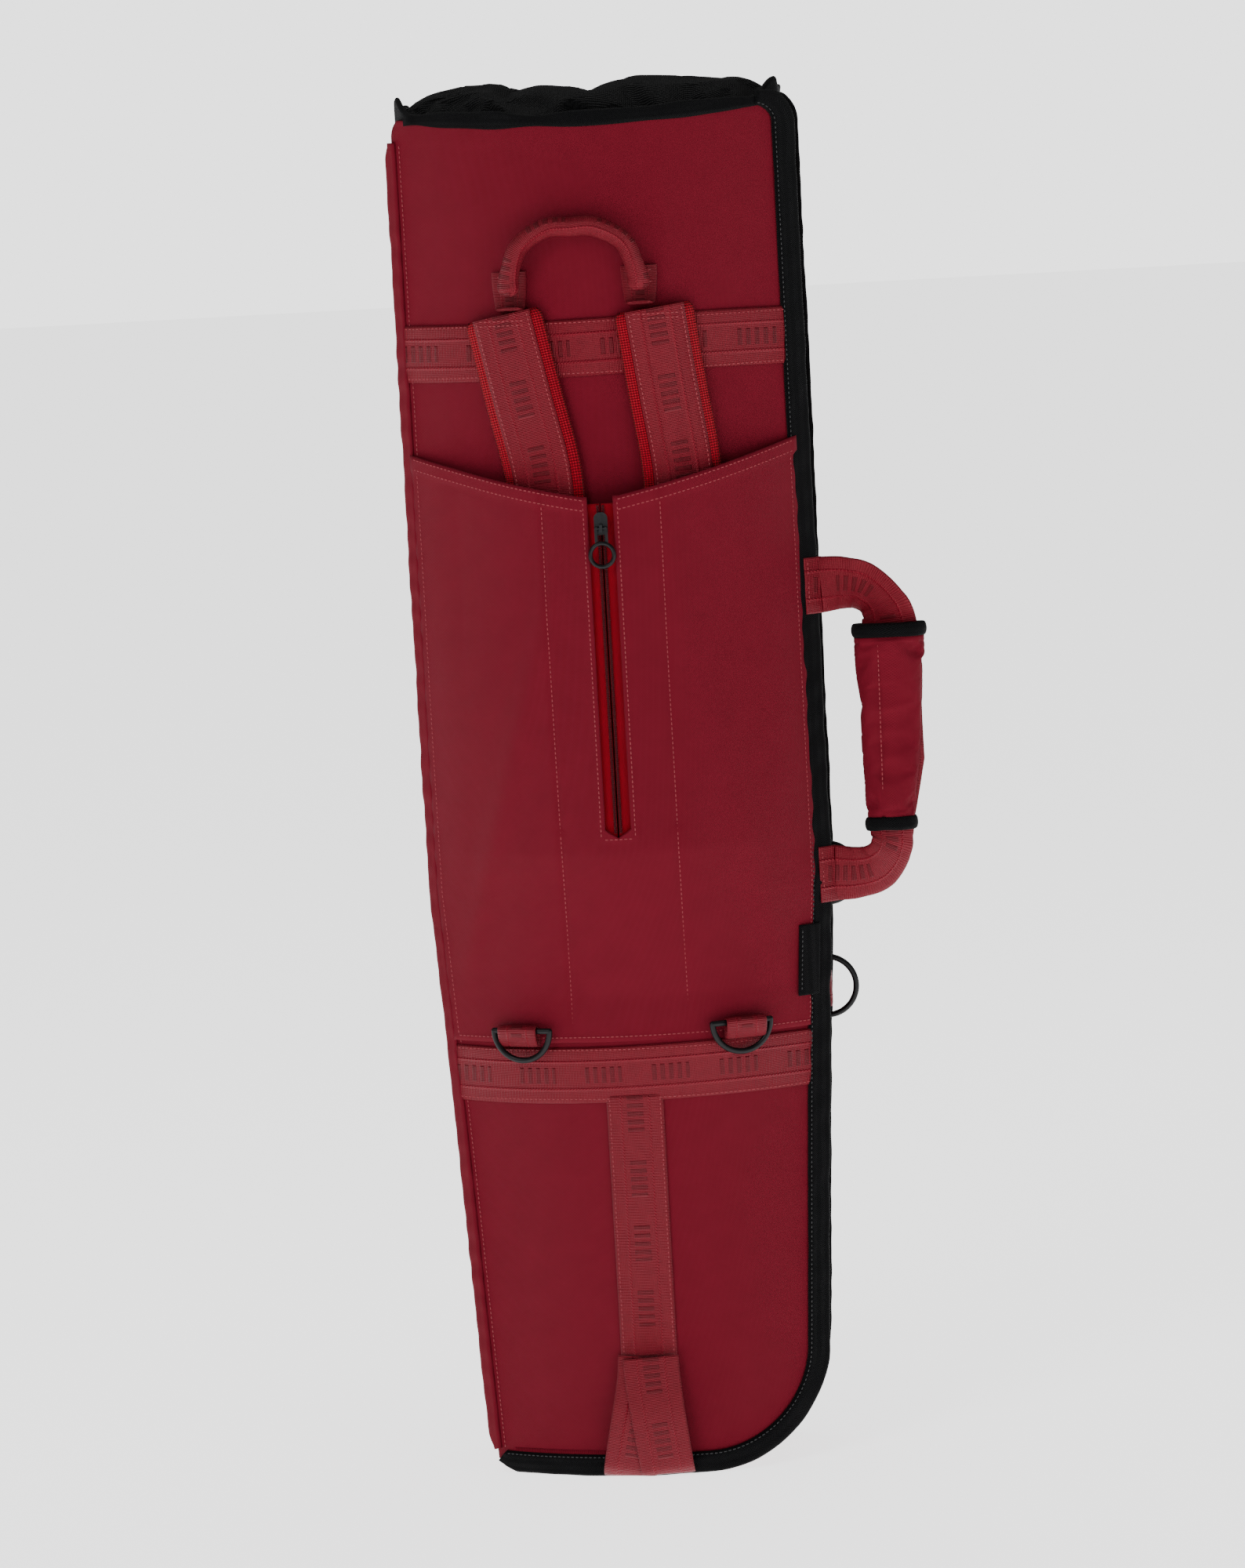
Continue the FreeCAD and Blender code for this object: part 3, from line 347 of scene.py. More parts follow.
def add_piece(name, mesh, material, slot, body="bag_back", stands_for=()):
    """Puts a mesh in the scene, rides it on a body and hides the parts it stands for; a blended piece rides on
    None.
    """
    piece = bpy.data.objects.new(name, mesh)
    bpy.context.scene.collection.objects.link(piece)
    mesh.materials.append(material)
    if body:
        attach(piece, body)
    if stands_for:
        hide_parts(*stands_for)
    return piece


def shell(name, outer, inner, uv, loop_u=False):
    """A closed sheet: an outer and an inner grid joined round their edges and welded."""
    ring = np.concatenate([outer, inner[:, ::-1]], axis=1)
    ring_uv = np.concatenate([uv, uv[:, ::-1], uv[:, :1]], axis=1)
    if not loop_u:
        middle = (outer + inner) / 2
        caps = [np.concatenate([row, row[::-1]])[None] for row in (middle[0], middle[-1])]
        ring = np.concatenate([caps[0], ring, caps[1]])
        ring_uv = np.concatenate([ring_uv[:1], ring_uv, ring_uv[-1:]])
    mesh = grid_mesh(name, ring, ring_uv, loop_u=loop_u, loop_v=True)
    weld(mesh)
    return mesh


def weld(mesh):
    """Joins points that lie together and turns every face outwards."""
    shape = bmesh.new()
    shape.from_mesh(mesh)
    bmesh.ops.remove_doubles(shape, verts=shape.verts, dist=2e-6)
    bmesh.ops.dissolve_degenerate(shape, edges=shape.edges, dist=1e-7)
    bmesh.ops.recalc_face_normals(shape, faces=shape.faces)
    shape.to_mesh(mesh)
    shape.free()
    mesh.polygons.foreach_set("use_smooth", [True] * len(mesh.polygons))


def distance_along(path):
    """The distance from a path's start to each of its points."""
    return np.concatenate([[0], np.cumsum(np.linalg.norm(np.diff(path, axis=0), axis=1))])


def uv_grid(around, along):
    """A UV map with one way round a piece and the other along it."""
    return np.stack(np.broadcast_arrays(around[None, :], along[:, None]), -1)


def tube(name, points, uv):
    """A closed tube from a grid of cross-sections, each end drawn in to its middle."""
    ends = points.mean(axis=1, keepdims=True) + 0 * points
    mesh = grid_mesh(name, np.concatenate([ends[:1], points, ends[-1:]]),
                     np.concatenate([uv[:1], uv, uv[-1:]]), loop_v=True)
    weld(mesh)
    return mesh


# ---- Padded walls of the back half -----------------------------------------------------------
# Burgundy twill over foam: the panel on the wearer's side and the gusset round both sides and
# the foot. The foam gives them a soft crown; towards the zipper the wall thins to the tape.
WALL = 0.0089
TAPE_W = 0.008


def corner_rows(low, high, low_r, count):
    """Heights from low to high, packed closer where a corner of that radius turns."""
    turning = low + low_r * (1 - np.cos(np.linspace(0, np.pi / 2, 14)))
    straight = np.linspace(low + low_r, high - TOP_CORNER_R, count)[1:]
    top = high - TOP_CORNER_R + TOP_CORNER_R * np.sin(np.linspace(0, np.pi / 2 * 0.8, 8))[1:]
    return np.concatenate([turning, straight, top])


def panel_grid(columns, rows=190):
    """x and z over the bag's outline: each row spans from edge to edge, the top row meets the dome."""
    z_rows = corner_rows(FOOT_Z, DOME_TOP_Z, FOOT_CORNER_R, rows)[:, None]
    u = np.linspace(0, 1, columns)[None, :]
    left, right_x = side_x(z_rows, -1), side_x(z_rows, 1)
    x = left + u * (right_x - left)
    lift = np.clip((z_rows - TOP_BLEND_Z) / (DOME_TOP_Z - TOP_BLEND_Z), 0, 1) ** 2
    return x, z_rows + lift * (dome_z(BACK_Y + sag(x)) - z_rows.max())


def padded_face(name, surface, x, z, edge_in):
    """A face's wall: its full thickness a little way in from its edge, thin where it is sewn."""
    inside = surface(x, z, -WALL * np.clip(0.25 + edge_in / 0.006, 0.25, 1.0))
    return shell(name, surface(x, z), inside, np.stack([x, z], -1))


x, z = panel_grid(110)
back_mesh = padded_face("back_panel_cover", on_back, x, z, np.minimum(half_width(z) - np.abs(x), z - FOOT_Z))
back_panel = add_piece("back_panel_cover", back_mesh, TWILL, "twill_red",
                       stands_for=("back_panel_fabric", "back_panel_foam"))


def outline(count):
    """The shell's closed outline, evenly spaced: x, z, outward normal and distance along it.

    It starts at the top left corner, runs down the left side, along the foot, up the right side
    and back along the top.
    """
    corner_r = 0.008
    quarter = np.linspace(0, np.pi / 2, 24)
    bend_z = FOOT_Z + FOOT_CORNER_R * (1 - np.cos(quarter))
    top = DOME_TOP_Z - TOP_CORNER_R
    down = np.linspace(top, FOOT_Z + corner_r, 160)
    up = np.linspace(FOOT_Z + FOOT_CORNER_R, top, 160)
    foot_x = np.linspace(-HALF_FOOT + corner_r, HALF_FOOT - FOOT_CORNER_R, 60)
    inner_x = HALF_BELL - TOP_CORNER_R
    runs = [
        (-half_width(down), down),
        (-HALF_FOOT + corner_r * (1 - np.cos(quarter)), FOOT_Z + corner_r * (1 - np.sin(quarter))),
        (foot_x, np.full(60, FOOT_Z)),
        (half_width(bend_z) - FOOT_CORNER_R * (1 - np.sin(quarter)), bend_z),
        (half_width(up), up),
        (inner_x + TOP_CORNER_R * np.cos(quarter), top + TOP_CORNER_R * np.sin(quarter)),
        (np.linspace(inner_x, -inner_x, 80), np.full(80, DOME_TOP_Z)),
        (-inner_x - TOP_CORNER_R * np.sin(quarter), top + TOP_CORNER_R * np.cos(quarter)),
    ]
    px = np.concatenate([run[0] for run in runs])
    pz = np.concatenate([run[1] for run in runs])
    step = np.hypot(np.diff(px), np.diff(pz))
    keep = np.concatenate([[True], step > 1e-7])
    px, pz = px[keep], pz[keep]
    along = np.concatenate([[0.0], np.cumsum(np.hypot(np.diff(px), np.diff(pz)))])
    even = np.linspace(0, along[-1], count + 1)[:-1]
    px, pz = np.interp(even, along, px), np.interp(even, along, pz)
    tx, tz = np.roll(px, -1) - np.roll(px, 1), np.roll(pz, -1) - np.roll(pz, 1)
    size = np.hypot(tx, tz)
    return px, pz, tz / size, -tx / size, even


def back_seam_y(x):
    """The back seam's y: where the curved face reaches the gusset."""
    return BACK_Y + sag(x)


def front_seam_y(x, z):
    """The front seam's y: the leaning face, less its curve."""
    return front_crest_y(z) - sag(x)


def wall_point(px, pz, nx, nz, y, lift):
    """Points of a gusset: the outline moved out along its normal; the top of it follows the dome."""
    top = np.clip((pz - (DOME_TOP_Z - 0.06)) / 0.06, 0, 1)
    return np.stack([px + nx * lift, y + 0 * px, pz + nz * lift + top * (dome_z(y) - DOME_TOP_Z)], -1)


def gusset(name, ring, start_y, end_y, seed, inset, wall, thin_end=-1, loop_u=False):
    """A gusset between two seams: the outline swept in depth, softly bulged, thin along the zipper."""
    px, pz, nx, nz, along = (value[:, None] for value in ring)
    t = (1 - np.cos(np.linspace(0, np.pi, 30)))[None, :] / 2
    y = start_y + t * (end_y - start_y)
    puff = (0.0016 + 0.0009 * ripple(along, y, seed, slow=3.0, fast=12.0)) * np.sin(np.pi * t)
    from_zip = np.abs(y - end_y) if thin_end > 0 else np.abs(y - start_y)
    thick = wall * np.clip(0.12 + from_zip / 0.007, 0.12, 1.0)
    outer = wall_point(px, pz, nx, nz, y, puff - inset)
    inner = wall_point(px, pz, nx, nz, y, puff - inset - thick)
    uv = np.stack([along + 0 * y, y], -1)
    if loop_u:
        last = uv[:1].copy()
        last[..., 0] += along.max() + (along[1] - along[0])
        uv = np.concatenate([uv, last])
    return shell(name, outer, inner, uv, loop_u=loop_u)


RING = outline(520)
ring_x, ring_z, _, _, ring_s = RING
RIGHT_TOP_S = ring_s[np.argmax(ring_x + ring_z)]
LEFT_TOP_S = ring_s[np.argmax(ring_z - ring_x)]


def up_to_the_corners(ring):
    """The outline without its top: from the left top corner down, round the foot and up to the right one."""
    whole = ring[4][-1] + ring[4][1]
    first, rest = ring[4] > LEFT_TOP_S - 0.003, ring[4] < RIGHT_TOP_S + 0.003
    joined = [np.concatenate([value[first], value[rest]]) for value in ring]
    joined[4] = np.concatenate([ring[4][first] - whole, ring[4][rest]])
    return tuple(joined)


HINGE_SIDE_X = -0.100


def set_back(x, reach):
    """How far a wall stops from the zipper's plane; beside the hinge the two halves almost meet."""
    return np.where(x < HINGE_SIDE_X, 0.0006, reach)


def back_gusset_mesh(name, reach, inset=0.0, wall=WALL):
    """The back gusset, from the back seam to the zipper, open along the mesh cap."""
    ring = up_to_the_corners(RING)
    start = back_seam_y(ring[0]) + inset
    end = split_y(ring[1]) - set_back(ring[0], reach)
    return gusset(name, ring, start[:, None], end[:, None], 21, inset, wall, thin_end=1)


back_gusset = add_piece("back_gusset_cover", back_gusset_mesh("back_gusset_cover", TAPE_W),
                        TWILL, "twill_red", stands_for=("back_gusset_fabric", "back_gusset_foam"))


# ---- Padded walls of the front half ----------------------------------------------------------
# The front shell is cut and padded like the back one, with a closed gusset all round, and
# swings open on the seam along the side away from the carry handle.
def on_front(x, z, lift=0.0):
    """A point at a height above the leaning front face."""
    reach = FACE_R + lift
    turn_by = np.arcsin(np.clip(x / FACE_R, -1, 1))
    edge = np.clip((half_width(z) - np.abs(x)) / 0.03, 0, 1)
    reach = reach + 0.0012 * ripple(x, z * 0.5, 31, slow=3.0, fast=9.0) * edge
    y = front_crest_y(z) - FACE_R + reach * np.cos(turn_by)
    return np.stack([reach * np.sin(turn_by), y, z - lift * math.sin(LEAN) * 0.5 + 0 * x], -1)


x, z = panel_grid(110)
flat = np.clip((z - TOP_BLEND_Z) / (DOME_TOP_Z - TOP_BLEND_Z), 0, 1) ** 2
z = z + flat * (dome_z(front_crest_y(DOME_TOP_Z) - sag(x)) - dome_z(BACK_Y + sag(x)))
lid_mesh = padded_face("lid_panel_cover", on_front, x, z, half_width(z) - np.abs(x))
lid_panel = add_piece("lid_panel_cover", lid_mesh, TWILL, "twill_red", body="lid",
                      stands_for=("lid_panel_fabric", "lid_panel_foam"))


def lid_gusset_mesh(name, reach, inset=0.0, wall=WALL):
    """The front gusset, from the zipper to the front seam, closed all round."""
    start = split_y(ring_z) + set_back(ring_x, reach)
    end = front_seam_y(ring_x, ring_z) - inset
    return gusset(name, RING, start[:, None], end[:, None], 22, inset, wall, loop_u=True)


lid_gusset = add_piece("lid_gusset_cover", lid_gusset_mesh("lid_gusset_cover", TAPE_W), TWILL, "twill_red",
                       body="lid", stands_for=("lid_gusset_fabric", "lid_gusset_foam"))

# The hinge is a strip of the same twill across the line where the two halves meet.
spine_z = np.linspace(FOOT_Z + 0.006, DOME_TOP_Z - TOP_CORNER_R, 200)[:, None]
spine_y = split_y(spine_z) + np.linspace(-0.007, 0.007, 15)[None, :]
spine_x = -half_width(spine_z) + 0 * spine_y
spine_uv = np.stack([spine_z + 0 * spine_y, spine_y], -1)
spine_out = np.stack([spine_x - 0.0012, spine_y, spine_z + 0 * spine_y], -1)
spine_in = np.stack([spine_x - 0.0002, spine_y, spine_z + 0 * spine_y], -1)
spine = shell("hinge_spine", spine_out, spine_in, spine_uv)
spine = add_piece("hinge_spine", spine, TWILL, "twill_red", body=None)
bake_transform(spine)


# ---- Webbing ---------------------------------------------------------------------------------
# Shiny 38 mm polyester webbing: a ribbed ground, two raised cords and, between them, a plain
# woven row of bars. Its UV map has x across the webbing and y along it, in metres.
WEB_W = 0.038
WEB_T = 0.0016
STITCH_IN = WEB_W / 2 - 0.0022


def bell_curve(tree, value, middle, width):
    """exp(-((value - middle) / width) squared)"""
    offset = math_node(tree, "DIVIDE", math_node(tree, "SUBTRACT", value, middle), width)
    squared = math_node(tree, "MULTIPLY", offset, offset)
    return math_node(tree, "EXPONENT", math_node(tree, "MULTIPLY", squared, -1.0))


def step_node(tree, value, low, high):
    """0 below low, 1 above high, smooth between them."""
    node = tree.nodes.new("ShaderNodeMapRange")
    node.interpolation_type = "SMOOTHSTEP"
    node.inputs["From Min"].default_value = low
    node.inputs["From Max"].default_value = high
    link(tree, value, node.inputs["Value"])
    return node.outputs[0]


def webbing_group():
    """Weft ribs, warp threads, two twisted cords painted lighter as a painted highlight, and a row of bars
    that comes and goes.
    """
    tree, given, out, x, y = weave_group("webbing weave")
    from_middle = math_node(tree, "ABSOLUTE", x)
    weft = wave(tree, y, 0.0011)
    warp = wave(tree, x, 0.0008)
    ground = math_node(tree, "MULTIPLY_ADD", weft, 0.5, math_node(tree, "MULTIPLY", warp, 0.3))
    twist = math_node(tree, "MULTIPLY_ADD", wave(tree, math_node(tree, "ADD", x, y), 0.0022), 0.35, 1.0)
    cord = math_node(tree, "MULTIPLY", bell_curve(tree, from_middle, 0.0094, 0.0008), twist)
    edge = bell_curve(tree, from_middle, 0.0182, 0.0009)
    bars = step_node(tree, wave(tree, y, 0.0056), -0.15, 0.25)
    inside = math_node(tree, "SUBTRACT", 1.0, step_node(tree, from_middle, 0.0050, 0.0056))
    group = step_node(tree, wave(tree, y, 0.0448), -0.35, -0.25)
    pattern = math_node(tree, "MULTIPLY", math_node(tree, "MULTIPLY", bars, inside), group)
    lines = math_node(tree, "MULTIPLY_ADD", cord, 3.2, math_node(tree, "MULTIPLY", edge, 1.2))
    raised = math_node(tree, "MULTIPLY_ADD", pattern, 2.2, lines)
    link(tree, math_node(tree, "ADD", ground, raised), out["Height"])
    slow = noise_node(tree, given["Vector"], 160.0, 2.0, 0.5)
    shade = math_node(tree, "MULTIPLY_ADD", ground, 0.18, math_node(tree, "MULTIPLY_ADD", slow, 0.3, 0.42))
    # The raised cords are painted lighter, a painted highlight; the woven bars are their own darker tone.
    bar_tone_and_cord_highlight = math_node(tree, "MULTIPLY_ADD", pattern, -0.30, math_node(tree, "MULTIPLY", cord, 0.25))
    link(tree, math_node(tree, "ADD", shade, bar_tone_and_cord_highlight), out["Shade"])
    return tree


WEBBING = cloth_material(
    "burgundy_webbing", webbing_group(),
    dark=(0.046, 0.0010, 0.0036), light=(0.190, 0.0055, 0.0160), bump=0.7, distance=0.0004,
    roughness=0.32, sheen=0.04, tint=(1.0, 0.20, 0.24), gloss=0.75)


def cross_profile():
    """A strap's cross-section, one wide and one thick: two nearly flat faces with rounded edges."""
    a = np.linspace(-1, 1, 15)
    half = 0.5 * (1 - 0.75 * np.abs(a) ** 10)
    return np.concatenate([a, a[::-1]]) / 2, np.concatenate([half, -half[::-1]])


def unit(v):
    """Vectors made one long."""
    return v / np.maximum(np.linalg.norm(v, axis=-1, keepdims=True), 1e-12)


def smooth_path(points, count):
    """An evenly spaced Catmull-Rom curve through a few points, which may carry extra columns."""
    points = np.asarray(points, float)
    ends = np.concatenate([2 * points[:1] - points[1:2], points, 2 * points[-1:] - points[-2:-1]])
    t = np.linspace(0, len(points) - 1, count * 4)
    k = np.minimum(t.astype(int), len(points) - 2)
    f = (t - k)[:, None]
    p0, p1, p2, p3 = ends[k], ends[k + 1], ends[k + 2], ends[k + 3]
    curve = 0.5 * (2 * p1 + (p2 - p0) * f + (2 * p0 - 5 * p1 + 4 * p2 - p3) * f ** 2
                   + (3 * p1 - p0 - 3 * p2 + p3) * f ** 3)
    along = distance_along(curve[:, :3])
    even = np.linspace(0, along[-1], count)
    return np.stack([np.interp(even, along, curve[:, c]) for c in range(curve.shape[1])], -1)


def strap_mesh(name, centre, across, normal, width, thick):
    """A strap carried along a path: its cross-section set out across it and square to it at each point."""
    px, py = cross_profile()
    width, thick = np.broadcast_to(width, len(centre)), np.broadcast_to(thick, len(centre))
    offset = across[:, None] * (px[None] * width[:, None])[..., None]
    points = centre[:, None] + offset + normal[:, None] * (py[None] * thick[:, None])[..., None]
    uv = uv_grid(np.append(px, px[0]) * WEB_W, distance_along(centre))
    ends = points.mean(axis=1, keepdims=True) + 0 * points
    points = np.concatenate([(ends[:1] + points[:1]) / 2, points, (ends[-1:] + points[-1:]) / 2])
    return tube(name, points, np.concatenate([uv[:1], uv, uv[-1:]]))


def beside(path):
    """The direction across a flat path at each of its points."""
    step = np.gradient(path[:, :2], axis=0)
    return unit(np.stack([step[:, 1], -step[:, 0]], -1))


def laid_strap(name, surface, path, width, thick):
    """A strap laid on a surface: path rows are x, z and height above it; every point follows the surface."""
    side = beside(path)
    px, py = cross_profile()
    x = path[:, :1] + side[:, :1] * px[None] * width
    z = path[:, 1:2] + side[:, 1:] * px[None] * width
    points = surface(x, z, path[:, 2:3] + (py[None] + 0.5) * thick)
    return tube(name, points, uv_grid(np.append(px, px[0]) * WEB_W, distance_along(path[:, :2])))


def webbing_piece(name, mesh, stands_for, body="bag_back"):
    """A mesh shown as webbing."""
    return add_piece(name, mesh, WEBBING, "webbing_red", body=body, stands_for=stands_for)


def laid_webbing(name, path, stands_for, width=WEB_W):
    """Webbing laid on the wearer's side."""
    return webbing_piece(name, laid_strap(name, on_back, path, width, WEB_T), stands_for=stands_for)


def looped_webbing(name, centre, across, width, thick, stands_for):
    """Webbing folded along a path, lying square to its own run."""
    across = np.broadcast_to(across, centre.shape)
    normal = np.cross(across, unit(np.gradient(centre, axis=0)))
    return webbing_piece(name, strap_mesh(name, centre, across, normal, width, thick), stands_for=stands_for)


STITCH_PITCH = 0.0032
STITCH_LONG = 0.0023
THREAD_R = 0.00035


def stitch_row(path, normal):
    """Thread stitches along a path: small spindles, half sunk in the cloth. Returns points and faces."""
    along = distance_along(path)
    at = np.arange(STITCH_PITCH, along[-1] - STITCH_PITCH / 2, STITCH_PITCH)
    here, ahead, out = (np.stack([np.interp(place, along, track[:, c]) for c in range(3)], -1)
                        for place, track in ((at, path), (at + STITCH_LONG / 2, path), (at, normal)))
    run, out = unit(ahead - here), unit(out)
    wide = np.cross(run, out)
    shape = [(-1, 0, -0.6), (-0.6, 1, 0), (0.6, 1, 0), (1, 0, -0.6),
             (0.6, -1, 0), (-0.6, -1, 0), (-0.5, 0, 1), (0.5, 0, 1)]
    points = np.stack([here + run * a * STITCH_LONG / 2 + (wide * b + out * c) * THREAD_R
                       for a, b, c in shape], 1)
    faces = np.array([(0, 6, 1, 1), (1, 6, 7, 2), (2, 7, 3, 3), (3, 7, 4, 4), (4, 7, 6, 5), (5, 6, 0, 0)])
    return points.reshape(-1, 3), (faces[None] + 8 * np.arange(len(at))[:, None, None]).reshape(-1, 4)


def thread_material(name, colour):
    """Twisted polyester thread: a slight sheen and a fine unevenness."""
    material, tree, shader = new_material(name)
    uneven = noise_node(tree, tree.nodes.new("ShaderNodeTexCoord").outputs["Object"], 900.0, 2.0)
    link(tree, mixed_colour(tree, uneven, [c * 0.55 for c in colour], colour), shader["Base Color"])
    shader["Roughness"].default_value = 0.45
    return material


RED_THREAD = thread_material("red_thread", (0.30, 0.014, 0.026))
BLACK_THREAD = thread_material("black_thread", (0.008, 0.008, 0.009))


def stitching(name, rows, body="bag_back", material=RED_THREAD, slot="webbing_red"):
    """One piece made of several rows of stitches; each row is a path and its outward normals."""
    points, faces, total = [], [], 0
    for path, normal in rows:
        row_points, row_faces = stitch_row(path, normal)
        points.append(row_points)
        faces.append(row_faces + total)
        total += len(row_points)
    mesh = bpy.data.meshes.new(name)
    corners = [list(dict.fromkeys(face)) for face in np.concatenate(faces).tolist()]
    mesh.from_pydata(np.concatenate(points).tolist(), [], corners)
    mesh.polygons.foreach_set("use_smooth", [True] * len(mesh.polygons))
    return add_piece(name, mesh, material, slot, body=body)


def row_on(surface, x, z, lift):
    """A stitching path on a surface, with its normals."""
    x, z = np.broadcast_arrays(x, z)
    near = surface(x, z, lift)
    return near, unit(surface(x, z, lift + 0.01) - near)


# ---- Cross bands, centre strip and bottom grab strap -------------------------------------------
# Webbing sewn flat across the wearer's side, and a strip down the middle of the foot. Its two
# legs below the bar tack spread, fold under the foot and make a strap to grab the bag by.
(_, _, upper_low), (_, _, upper_high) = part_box("upper_band")
(_, _, lower_low), (_, _, lower_high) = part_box("lower_band")
UPPER_BAND_Z, LOWER_BAND_Z = (upper_low + upper_high) / 2, (lower_low + lower_high) / 2
BAR_TACK_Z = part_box("centre_strip")[0][2]
for name, band_z in (("upper_band", UPPER_BAND_Z), ("lower_band", LOWER_BAND_Z)):
    reach = half_width(band_z)
    x = np.linspace(-reach + 0.001, reach - 0.0035, 90)
    path = np.stack([x, band_z + 0.0008 * np.sin(x * 24), np.full(90, 0.0002)], -1)
    laid_webbing(name + "_webbing", path, stands_for=(name,))
    stitching(name + "_stitches", [row_on(on_back, x, band_z + side * STITCH_IN, WEB_T) for side in (-1, 1)])

z = np.linspace(LOWER_BAND_Z - WEB_W / 2 + 0.004, BAR_TACK_Z, 80)
path = np.stack([0 * z, z, np.full(80, 0.0003)], -1)
laid_webbing("centre_strip_webbing", path, stands_for=("centre_strip",))
rows = [row_on(on_back, side * STITCH_IN, z, WEB_T) for side in (-1, 1)]
tack_x = np.linspace(-WEB_W / 2 + 0.002, WEB_W / 2 - 0.002, 20)
rows += [row_on(on_back, tack_x, BAR_TACK_Z + k * 0.0016, WEB_T + 0.0012) for k in range(3)]
stitching("centre_strip_stitches", rows)


def grab_leg(name, foot_x, top_x, turn_by, over, stands_for=()):
    """One leg of the grab strap: from under the bar tack down, out and under the foot."""
    y_face = BACK_Y - WEB_T - over * 0.0017
    under_z = 0.0012 + over * 0.0014
    end_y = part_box("bottom_grab_strap")[1][1] - 0.001
    spread = foot_x - top_x
    path = smooth_path([
        (top_x, y_face - 0.0005, BAR_TACK_Z + 0.004, 0.0),
        (top_x + spread * 0.12, y_face - 0.003, BAR_TACK_Z - 0.012, 0.2),
        (top_x + spread * 0.45, y_face - 0.0062, BAR_TACK_Z - 0.036, 0.55),
        (top_x + spread * 0.85, y_face - 0.0058, 0.016, 0.9),
        (foot_x, y_face - 0.0035, 0.0045, 1.0),
        (foot_x, y_face + 0.004, under_z, 1.0),
        (foot_x, end_y, under_z, 1.0),
    ], 90)
    centre = path[:, :3]
    run = unit(np.gradient(centre, axis=0))
    lean = turn_by * np.clip(path[:, 3:4], 0, 1) * np.clip(-run[:, 2:], 0, 1)
    across = unit(np.concatenate([np.cos(lean), 0 * lean, np.sin(lean)], 1))
    across = unit(across - run * np.sum(across * run, 1, keepdims=True))
    mesh = strap_mesh(name, centre, across, np.cross(across, run), WEB_W * (1 - 0.04 * path[:, 3]), WEB_T)
    webbing_piece(name, mesh, stands_for=stands_for)


grab_leg("grab_leg_left", foot_x=-0.0165, top_x=-0.002, turn_by=-0.16, over=0,
         stands_for=("bottom_grab_strap",))
grab_leg("grab_leg_right", foot_x=0.009, top_x=0.001, turn_by=0.12, over=1)


# ---- Linings ---------------------------------------------------------------------------------
# Both halves are lined with quilted black plush: a panel and a gusset, set in from the walls.
def quilt_group():
    """Diamond quilting: two crossing sets of sewn valleys, painted darker as painted shade, with a fine pile
    between them.
    """
    tree, given, out, x, y = weave_group("quilted plush")
    ways = []
    for operation in ("ADD", "SUBTRACT"):
        crossing = math_node(tree, "ABSOLUTE", wave(tree, math_node(tree, operation, x, y), 0.09))
        ways.append(math_node(tree, "POWER", crossing, 0.4))
    puffs = math_node(tree, "MULTIPLY", *ways)
    pile = noise_node(tree, given["Vector"], 1500.0, 2.0)
    link(tree, math_node(tree, "MULTIPLY_ADD", puffs, 8.0, pile), out["Height"])
    # The puffs are painted paler and the sewn valleys darker: painted shade in the valleys.
    puff_light_valley_shade = math_node(tree, "MULTIPLY", puffs, 0.4)
    link(tree, math_node(tree, "MULTIPLY_ADD", pile, 0.7, puff_light_valley_shade), out["Shade"])
    return tree


LINING = cloth_material(
    "quilted_black_plush", quilt_group(),
    dark=(0.004, 0.004, 0.0045), light=(0.016, 0.016, 0.017), bump=0.5, distance=0.0004, roughness=0.85,
    sheen=0.15, tint=(0.5, 0.5, 0.52))
LINING_T = 0.0006
LINING_IN = WALL + 0.0001
FOAM_BACK = 0.009
LINING_WIDE = 0.925
LINING_TALL = 0.975
LINING_FOOT = 0.0095


def lined_panel(name, surface, body, stands_for):
    """The lining of a face: a thin sheet just inside its wall."""
    x, z = panel_grid(50, 90)
    x, z = x * LINING_WIDE, FOOT_Z + LINING_FOOT + (z - FOOT_Z) * LINING_TALL
    sheet = shell(name, surface(x, z, -LINING_IN), surface(x, z, -LINING_IN - LINING_T), np.stack([x, z], -1))
    return add_piece(name, sheet, LINING, "lining", body=body, stands_for=stands_for)


lined_panel("back_lining_panel", on_back, "bag_back", ("back_lining",))
lined_panel("lid_lining_panel", on_front, "lid", ("lid_lining",))
back_lining = back_gusset_mesh("back_lining_gusset", FOAM_BACK, inset=LINING_IN, wall=LINING_T)
add_piece("back_lining_gusset", back_lining, LINING, "lining")
lid_lining = lid_gusset_mesh("lid_lining_gusset", FOAM_BACK, inset=LINING_IN, wall=LINING_T)
add_piece("lid_lining_gusset", lid_lining, LINING, "lining", body="lid")


# ---- Bound seams -----------------------------------------------------------------------------
# Black herringbone tape folded over the seams that stand out round the foot and the handle
# side, a pinched twill seam down the hinge side, and a bound rim round the mesh cap.
def herringbone_group():
    """Zigzag ribs across the tape."""
    tree, given, out, x, y = weave_group("herringbone tape")
    zigzag = math_node(tree, "PINGPONG", x, 0.0028)
    rib = wave(tree, math_node(tree, "ADD", zigzag, y), 0.0013)
    fuzz = noise_node(tree, given["Vector"], 2000.0, 1.0)
    height = math_node(tree, "MULTIPLY_ADD", fuzz, 0.5, rib)
    link(tree, height, out["Height"])
    link(tree, math_node(tree, "MULTIPLY_ADD", height, 0.3, 0.5), out["Shade"])
    return tree


BINDING = cloth_material(
    "black_herringbone_tape", herringbone_group(),
    dark=(0.0012, 0.0012, 0.0014), light=(0.0085, 0.0085, 0.0092), bump=0.8, distance=0.0003,
    roughness=0.6, sheen=0.03, tint=(0.6, 0.6, 0.6), gloss=0.06)


